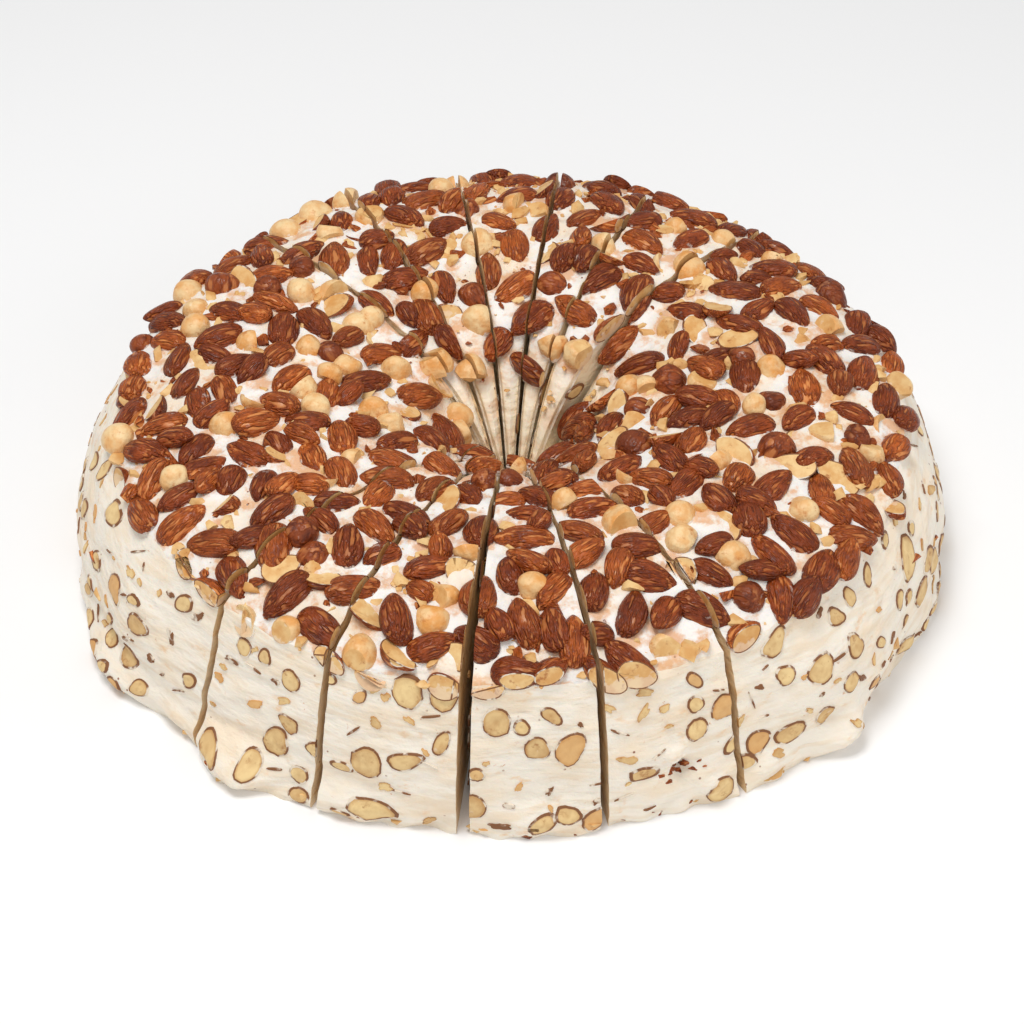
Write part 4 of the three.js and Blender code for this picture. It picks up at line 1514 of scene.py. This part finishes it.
def scatter_sections(chance, width, height, density):
    """Flat places on a sheet: right, up, tilt, kind, half length and half width."""
    found = []
    wanted = density * width * height / 100
    for _ in range(round(SECTION_TRIES * wanted)):
        kind, half_length, half_width = draw_section(chance)
        right, up = chance.uniform(0, width), chance.uniform(SECTION_FLOOR, height)
        tilt = chance.normal(0, SECTION_TILT)
        near = (math.hypot(right - o[0], up - o[1]) < SECTION_CLEARANCE * (half_length + o[4]) for o in found)
        if len(found) < wanted and not any(near):
            found.append((right, up, tilt, kind, half_length, half_width))
    return found


def add_section(heap, chance, place, bend):
    right, up, tilt, kind, half_length, half_width = place
    flat, faces, finishes, tones = section_lens(chance, half_length, half_width, kind)
    c, s = math.cos(tilt), math.sin(tilt)
    across, along = right + c * flat[:, 0] - s * flat[:, 1], up + s * flat[:, 0] + c * flat[:, 1]
    grain = flat + chance.uniform(-GRAIN_SPREAD, GRAIN_SPREAD, 3)
    above = np.full(len(flat), chance.uniform(*SECTION_ABOVE))
    bent = bend(across, np.maximum(along, SECTION_LOWEST), flat[:, 2])
    heap.add(bent, faces, finishes, grain, tones, above)


print("of ten ovals drawn:", [draw_section(np.random.default_rng(n))[0] for n in range(10)])

# %% [markdown]
# ## Ovals in the side
#
# The same formulas that bent the nougat bend the lenses, so they follow its lumps and strokes. Ovals that
# reach past a cut are held back at its edge, as a cut nut is. The torn hollow stays free of them, because
# nothing there was cut smooth.

# %% Ovals in the side
SIDE_DENSITY = 0.72  # ovals for each square centimetre
SECTION_TOP = 56  # height in mm, under the rounded rim
TEAR_CLEARANCE = 13.0  # mm round the torn hollow that stay free of ovals


def side_sheet(piece):
    """Bends a flat sheet, in mm along the side and up, onto a piece's side. Returns the sheet's width too."""
    start, end = face_angles(piece, TRIMMED_RADIUS)

    def bend(across, height, proud):
        angle = np.clip(start + np.degrees(across / TRIMMED_RADIUS), start, end)
        radius = side_radius(angle, height, piece) + side_relief(angle, height) + proud
        x, y = radius * np.cos(np.radians(angle)), radius * np.sin(np.radians(angle))
        return np.stack((x, y, height), -1)

    return bend, math.radians(end - start) * TRIMMED_RADIUS


tear_turn = math.radians(TEAR_ANGLE)
tear_middle = np.array((TRIMMED_RADIUS * math.cos(tear_turn), TRIMMED_RADIUS * math.sin(tear_turn), TEAR_AT))
side_sections = Heap("nuts_cut_in_side")
section_chance = np.random.default_rng(SECTION_SEED)
for piece in pieces:
    bend, width = side_sheet(piece)
    for place in scatter_sections(section_chance, width, SECTION_TOP, SIDE_DENSITY):
        middle = bend(*(np.array([value]) for value in (place[0], place[1], 0.0)))[0]
        if np.linalg.norm(middle - tear_middle) > TEAR_CLEARANCE:
            add_section(side_sections, section_chance, place, bend)
side_sections.build((rind, section_flesh), "nut_flesh")

# %% [markdown]
# ## Ovals in the cut faces
#
# A cut face shows cut nuts too, in the wide gap and at the inner ends of the slices. The gaps are narrow, so
# the lenses stand out less here and there are fewer of them. The highest ones are left out where the top of
# the nougat is lower than they reach.

# %% Ovals in the cut faces
FACE_DENSITY = 0.3
FACE_PROUD_SHARE = 0.4  # a lens stands out less here, so that neighbours stay clear
FACE_INNER = 12.0
FACE_SHORTER, FACE_LOWER = 8, 6  # mm that the sheet ends before the rim and under the crest

face_sections = Heap("nuts_cut_in_faces")


def face_sheet(plane, cut):
    """Bends a flat sheet, in mm from the middle and up, onto a cut face."""
    tip, normal = plane
    ahead = np.array((math.cos(math.radians(cut)), math.sin(math.radians(cut)), 0.0))

    def bend(along, height, proud):
        flat = np.array(tip) + along[:, None] * ahead
        drawn_in = drag_relief(flat[:, 0], flat[:, 1], height) - FACE_PROUD_SHARE * proud
        flat = flat - drawn_in[:, None] * np.array(normal)
        flat[:, 2] = height
        return flat

    return bend


def add_face_sections(piece):
    for plane, cut in zip(piece["planes"], (piece["start"], piece["end"])):
        bend = face_sheet(plane, cut)
        turn = math.radians(cut)
        size = RIM_RADIUS - FACE_SHORTER, CREST_HEIGHT - FACE_LOWER
        for place in scatter_sections(section_chance, *size, FACE_DENSITY):
            right, up, half_length = place[0], place[1], place[4]
            top = nougat_top(right * math.cos(turn), right * math.sin(turn), piece)
            if right > FACE_INNER and up + half_length < top:
                add_section(face_sections, section_chance, place, bend)


for piece in pieces:
    add_face_sections(piece)
face_sections.build((rind, section_flesh), "nut_flesh")

# %% [markdown]
# ## Chips and crumbs
#
# Broken nuts, flakes of skin and crumbs lie between the whole ones. A chip is the convex hull of a few
# random points, which gives the flat facets of something that snapped. There are many, so each has few
# faces. They are laid where no large nut is, and more of them behind, where the second layer of nuts is thin.

# %% Broken pieces on the top
CHIP_SEED = 31
CHIP_COUNT = 880
CHIPS_BEHIND = 260  # more, between the angles where the second layer is thin
CHIP_POINTS = 11
CHIP_SHAPE = np.array((1.3, 0.9, 0.6))
CHIP_HALF_SIZES = (0.7, 4.4)  # mm, and most are near the smaller one
CHIP_GAP = -1.5  # how far a chip may reach under the edge of a nut
CHIP_FROM_CUT = 1.5, 1  # half sizes, and mm more, that a chip keeps off a cut
CHIP_TILT = 0.4
CHIP_LIFT = 0.3
PALE_ON_TOP = 0.72  # share of the chips that are flesh; the rest are skin
ANY_TURN = 6.3  # radians, about a full turn

chips = {name: Heap(name) for name in ("chips_pale", "chips_brown")}


def chip_shape(chance, half_size):
    """A convex lump with flat facets, longer than it is high."""
    lump = bmesh.new()
    directions = chance.normal(0, 1, (CHIP_POINTS, 3))
    directions /= np.linalg.norm(directions, axis=1)[:, None]
    for point in directions * half_size * CHIP_SHAPE:
        lump.verts.new(point)
    bmesh.ops.convex_hull(lump, input=lump.verts[:])
    bmesh.ops.delete(lump, geom=[v for v in lump.verts if not v.link_faces], context="VERTS")
    lump.verts.index_update()
    points = np.array([v.co for v in lump.verts])
    faces = [[v.index for v in face.verts] for face in lump.faces]
    lump.free()
    return points, faces


def piece_at(x, y):
    return max(pieces, key=lambda piece: inside_by(x, y, piece))


def spun(about_up, tilt):
    return np.array(Matrix.Rotation(about_up, 3, "Z") @ Matrix.Rotation(tilt, 3, "X"))


def lay_chips():
    chance = np.random.default_rng(CHIP_SEED)
    count = 0
    while count < CHIP_COUNT + CHIPS_BEHIND:
        radius = RIM_RADIUS * math.sqrt(chance.uniform(0.01, 1.0))
        behind = count >= CHIP_COUNT
        turn = math.radians(chance.uniform(*BARE_BEHIND)) if behind else chance.uniform(0, 2 * math.pi)
        x, y = radius * math.cos(turn), radius * math.sin(turn)
        half_size = CHIP_HALF_SIZES[0] + (CHIP_HALF_SIZES[1] - CHIP_HALF_SIZES[0]) * chance.uniform() ** 2
        piece = piece_at(x, y)
        clearance = CHIP_FROM_CUT[0] * half_size + CHIP_FROM_CUT[1]
        if gap_to_nuts(np.array([x]), np.array([y]))[0] < CHIP_GAP or inside_by(x, y, piece) < clearance:
            continue
        points, faces = chip_shape(chance, half_size)
        spin = spun(chance.uniform(0, ANY_TURN), chance.normal(0, CHIP_TILT))
        base = float(nougat_top(x, y, piece)) + POURED_OVER + CHIP_LIFT * half_size
        laid = points @ spin.T + (x, y, base)
        heap = chips["chips_pale" if chance.uniform() < PALE_ON_TOP else "chips_brown"]
        grain = points + chance.uniform(-GRAIN_SPREAD, GRAIN_SPREAD, 3)
        heap.add(laid, faces, [0] * len(faces), grain, chance.uniform(), laid[:, 2] - base + half_size)
        count += 1


lay_chips()
print("chips on the top:", sum(heap.count for heap in chips.values()))

# %% [markdown]
# ## Chips in the side and at the foot
#
# A few nuts stick out of the side instead of being cut flush, brown bits fill the torn hollow, and crumbs
# lie along the foot. The bits in the hollow are all brown, so they are both bits seen there and painted
# shade that darkens the hollow. The first are listed by place, because each is seen on its own. The others
# are scattered. All are chips of the same make, sunk into the side by nearly half their size.

# %% Broken pieces in the side
PROUD_CHIPS = (  # nuts that stick out of the side: angle, height, half size
    (328.5, 18, 4.6), (199, 32, 3.8), (203, 24, 3.4), (224.5, 3, 3.6), (243.5, 3, 2.8), (247, 2.5, 2.6),
    (265.8, 2, 3.2), (280, 3.5, 3), (284, 1.5, 3.2), (305, 3, 3.6), (337, 40, 3.6), (233, 2, 3),
    (256, 2, 2.6), (272, 2, 3.2), (294, 3, 3.4), (310, 2, 2.6), (213, 2, 3), (345, 30, 3.4),
)
# brown bits in the torn hollow, partly painted shade that darkens it
TEAR_BITS, TEAR_SPREAD, TEAR_BIT_SIZES = 26, 1.4, (0.9, 2.2)
FOOT_CRUMBS, CRUMB_HEIGHTS, CRUMB_SIZES = 70, (0.6, 4), (0.6, 1.9)
CRUMB_FROM_CUT = 1.8  # degrees
PALE_IN_SIDE = 0.6
SIDE_CHIP_TILT = 0.6
SIDE_CHIP_SUNK = 0.45  # half sizes
SIDE_CHIP_ABOVE = 3.0  # given as the height above the nougat, so that no smear hides a chip
LOWEST_POINT = 0.05


def add_to_side(chance, angle, height, half_size, heap):
    turn = math.radians(angle)
    piece = piece_at(math.cos(turn), math.sin(turn))
    points, faces = chip_shape(chance, half_size)
    spin = spun(math.radians(angle + 90), chance.normal(0, SIDE_CHIP_TILT))
    at, up = np.array([angle]), np.array([height])
    radius = float((side_radius(at, up, piece) + side_relief(at, up))[0]) - SIDE_CHIP_SUNK * half_size
    laid = points @ spin.T + (radius * math.cos(turn), radius * math.sin(turn), height)
    laid[:, 2] = np.maximum(laid[:, 2], LOWEST_POINT)
    grain = points + chance.uniform(-GRAIN_SPREAD, GRAIN_SPREAD, 3)
    above = np.full(len(laid), SIDE_CHIP_ABOVE)
    heap.add(laid, faces, [0] * len(faces), grain, chance.uniform(), above)


def pale_or_brown(chance):
    return chips["chips_pale" if chance.uniform() < PALE_IN_SIDE else "chips_brown"]


def clear_of_cuts(angle, margin):
    return all(angle_between(angle, cut) > margin for cut in BACK_CUTS + FRONT_CUTS)


def lay_side_chips():
    chance = np.random.default_rng(CHIP_SEED + 1)
    for place in PROUD_CHIPS:
        heap = pale_or_brown(chance)
        add_to_side(chance, *place, heap)
    # all brown: bits in the torn hollow and painted shade in it
    for _ in range(TEAR_BITS):
        place = TEAR_ANGLE + chance.normal(0, TEAR_SPREAD), TEAR_AT + chance.normal(0, TEAR_SPREAD)
        add_to_side(chance, *place, chance.uniform(*TEAR_BIT_SIZES), chips["chips_brown"])
    for _ in range(FOOT_CRUMBS):
        place = chance.uniform(0, 360), chance.uniform(*CRUMB_HEIGHTS), chance.uniform(*CRUMB_SIZES)
        heap = pale_or_brown(chance)
        if clear_of_cuts(place[0], CRUMB_FROM_CUT):
            add_to_side(chance, *place, heap)


lay_side_chips()
chips["chips_pale"].build((flesh,), "nut_flesh")
chips["chips_brown"].build((almond_light,), "almond_skin")
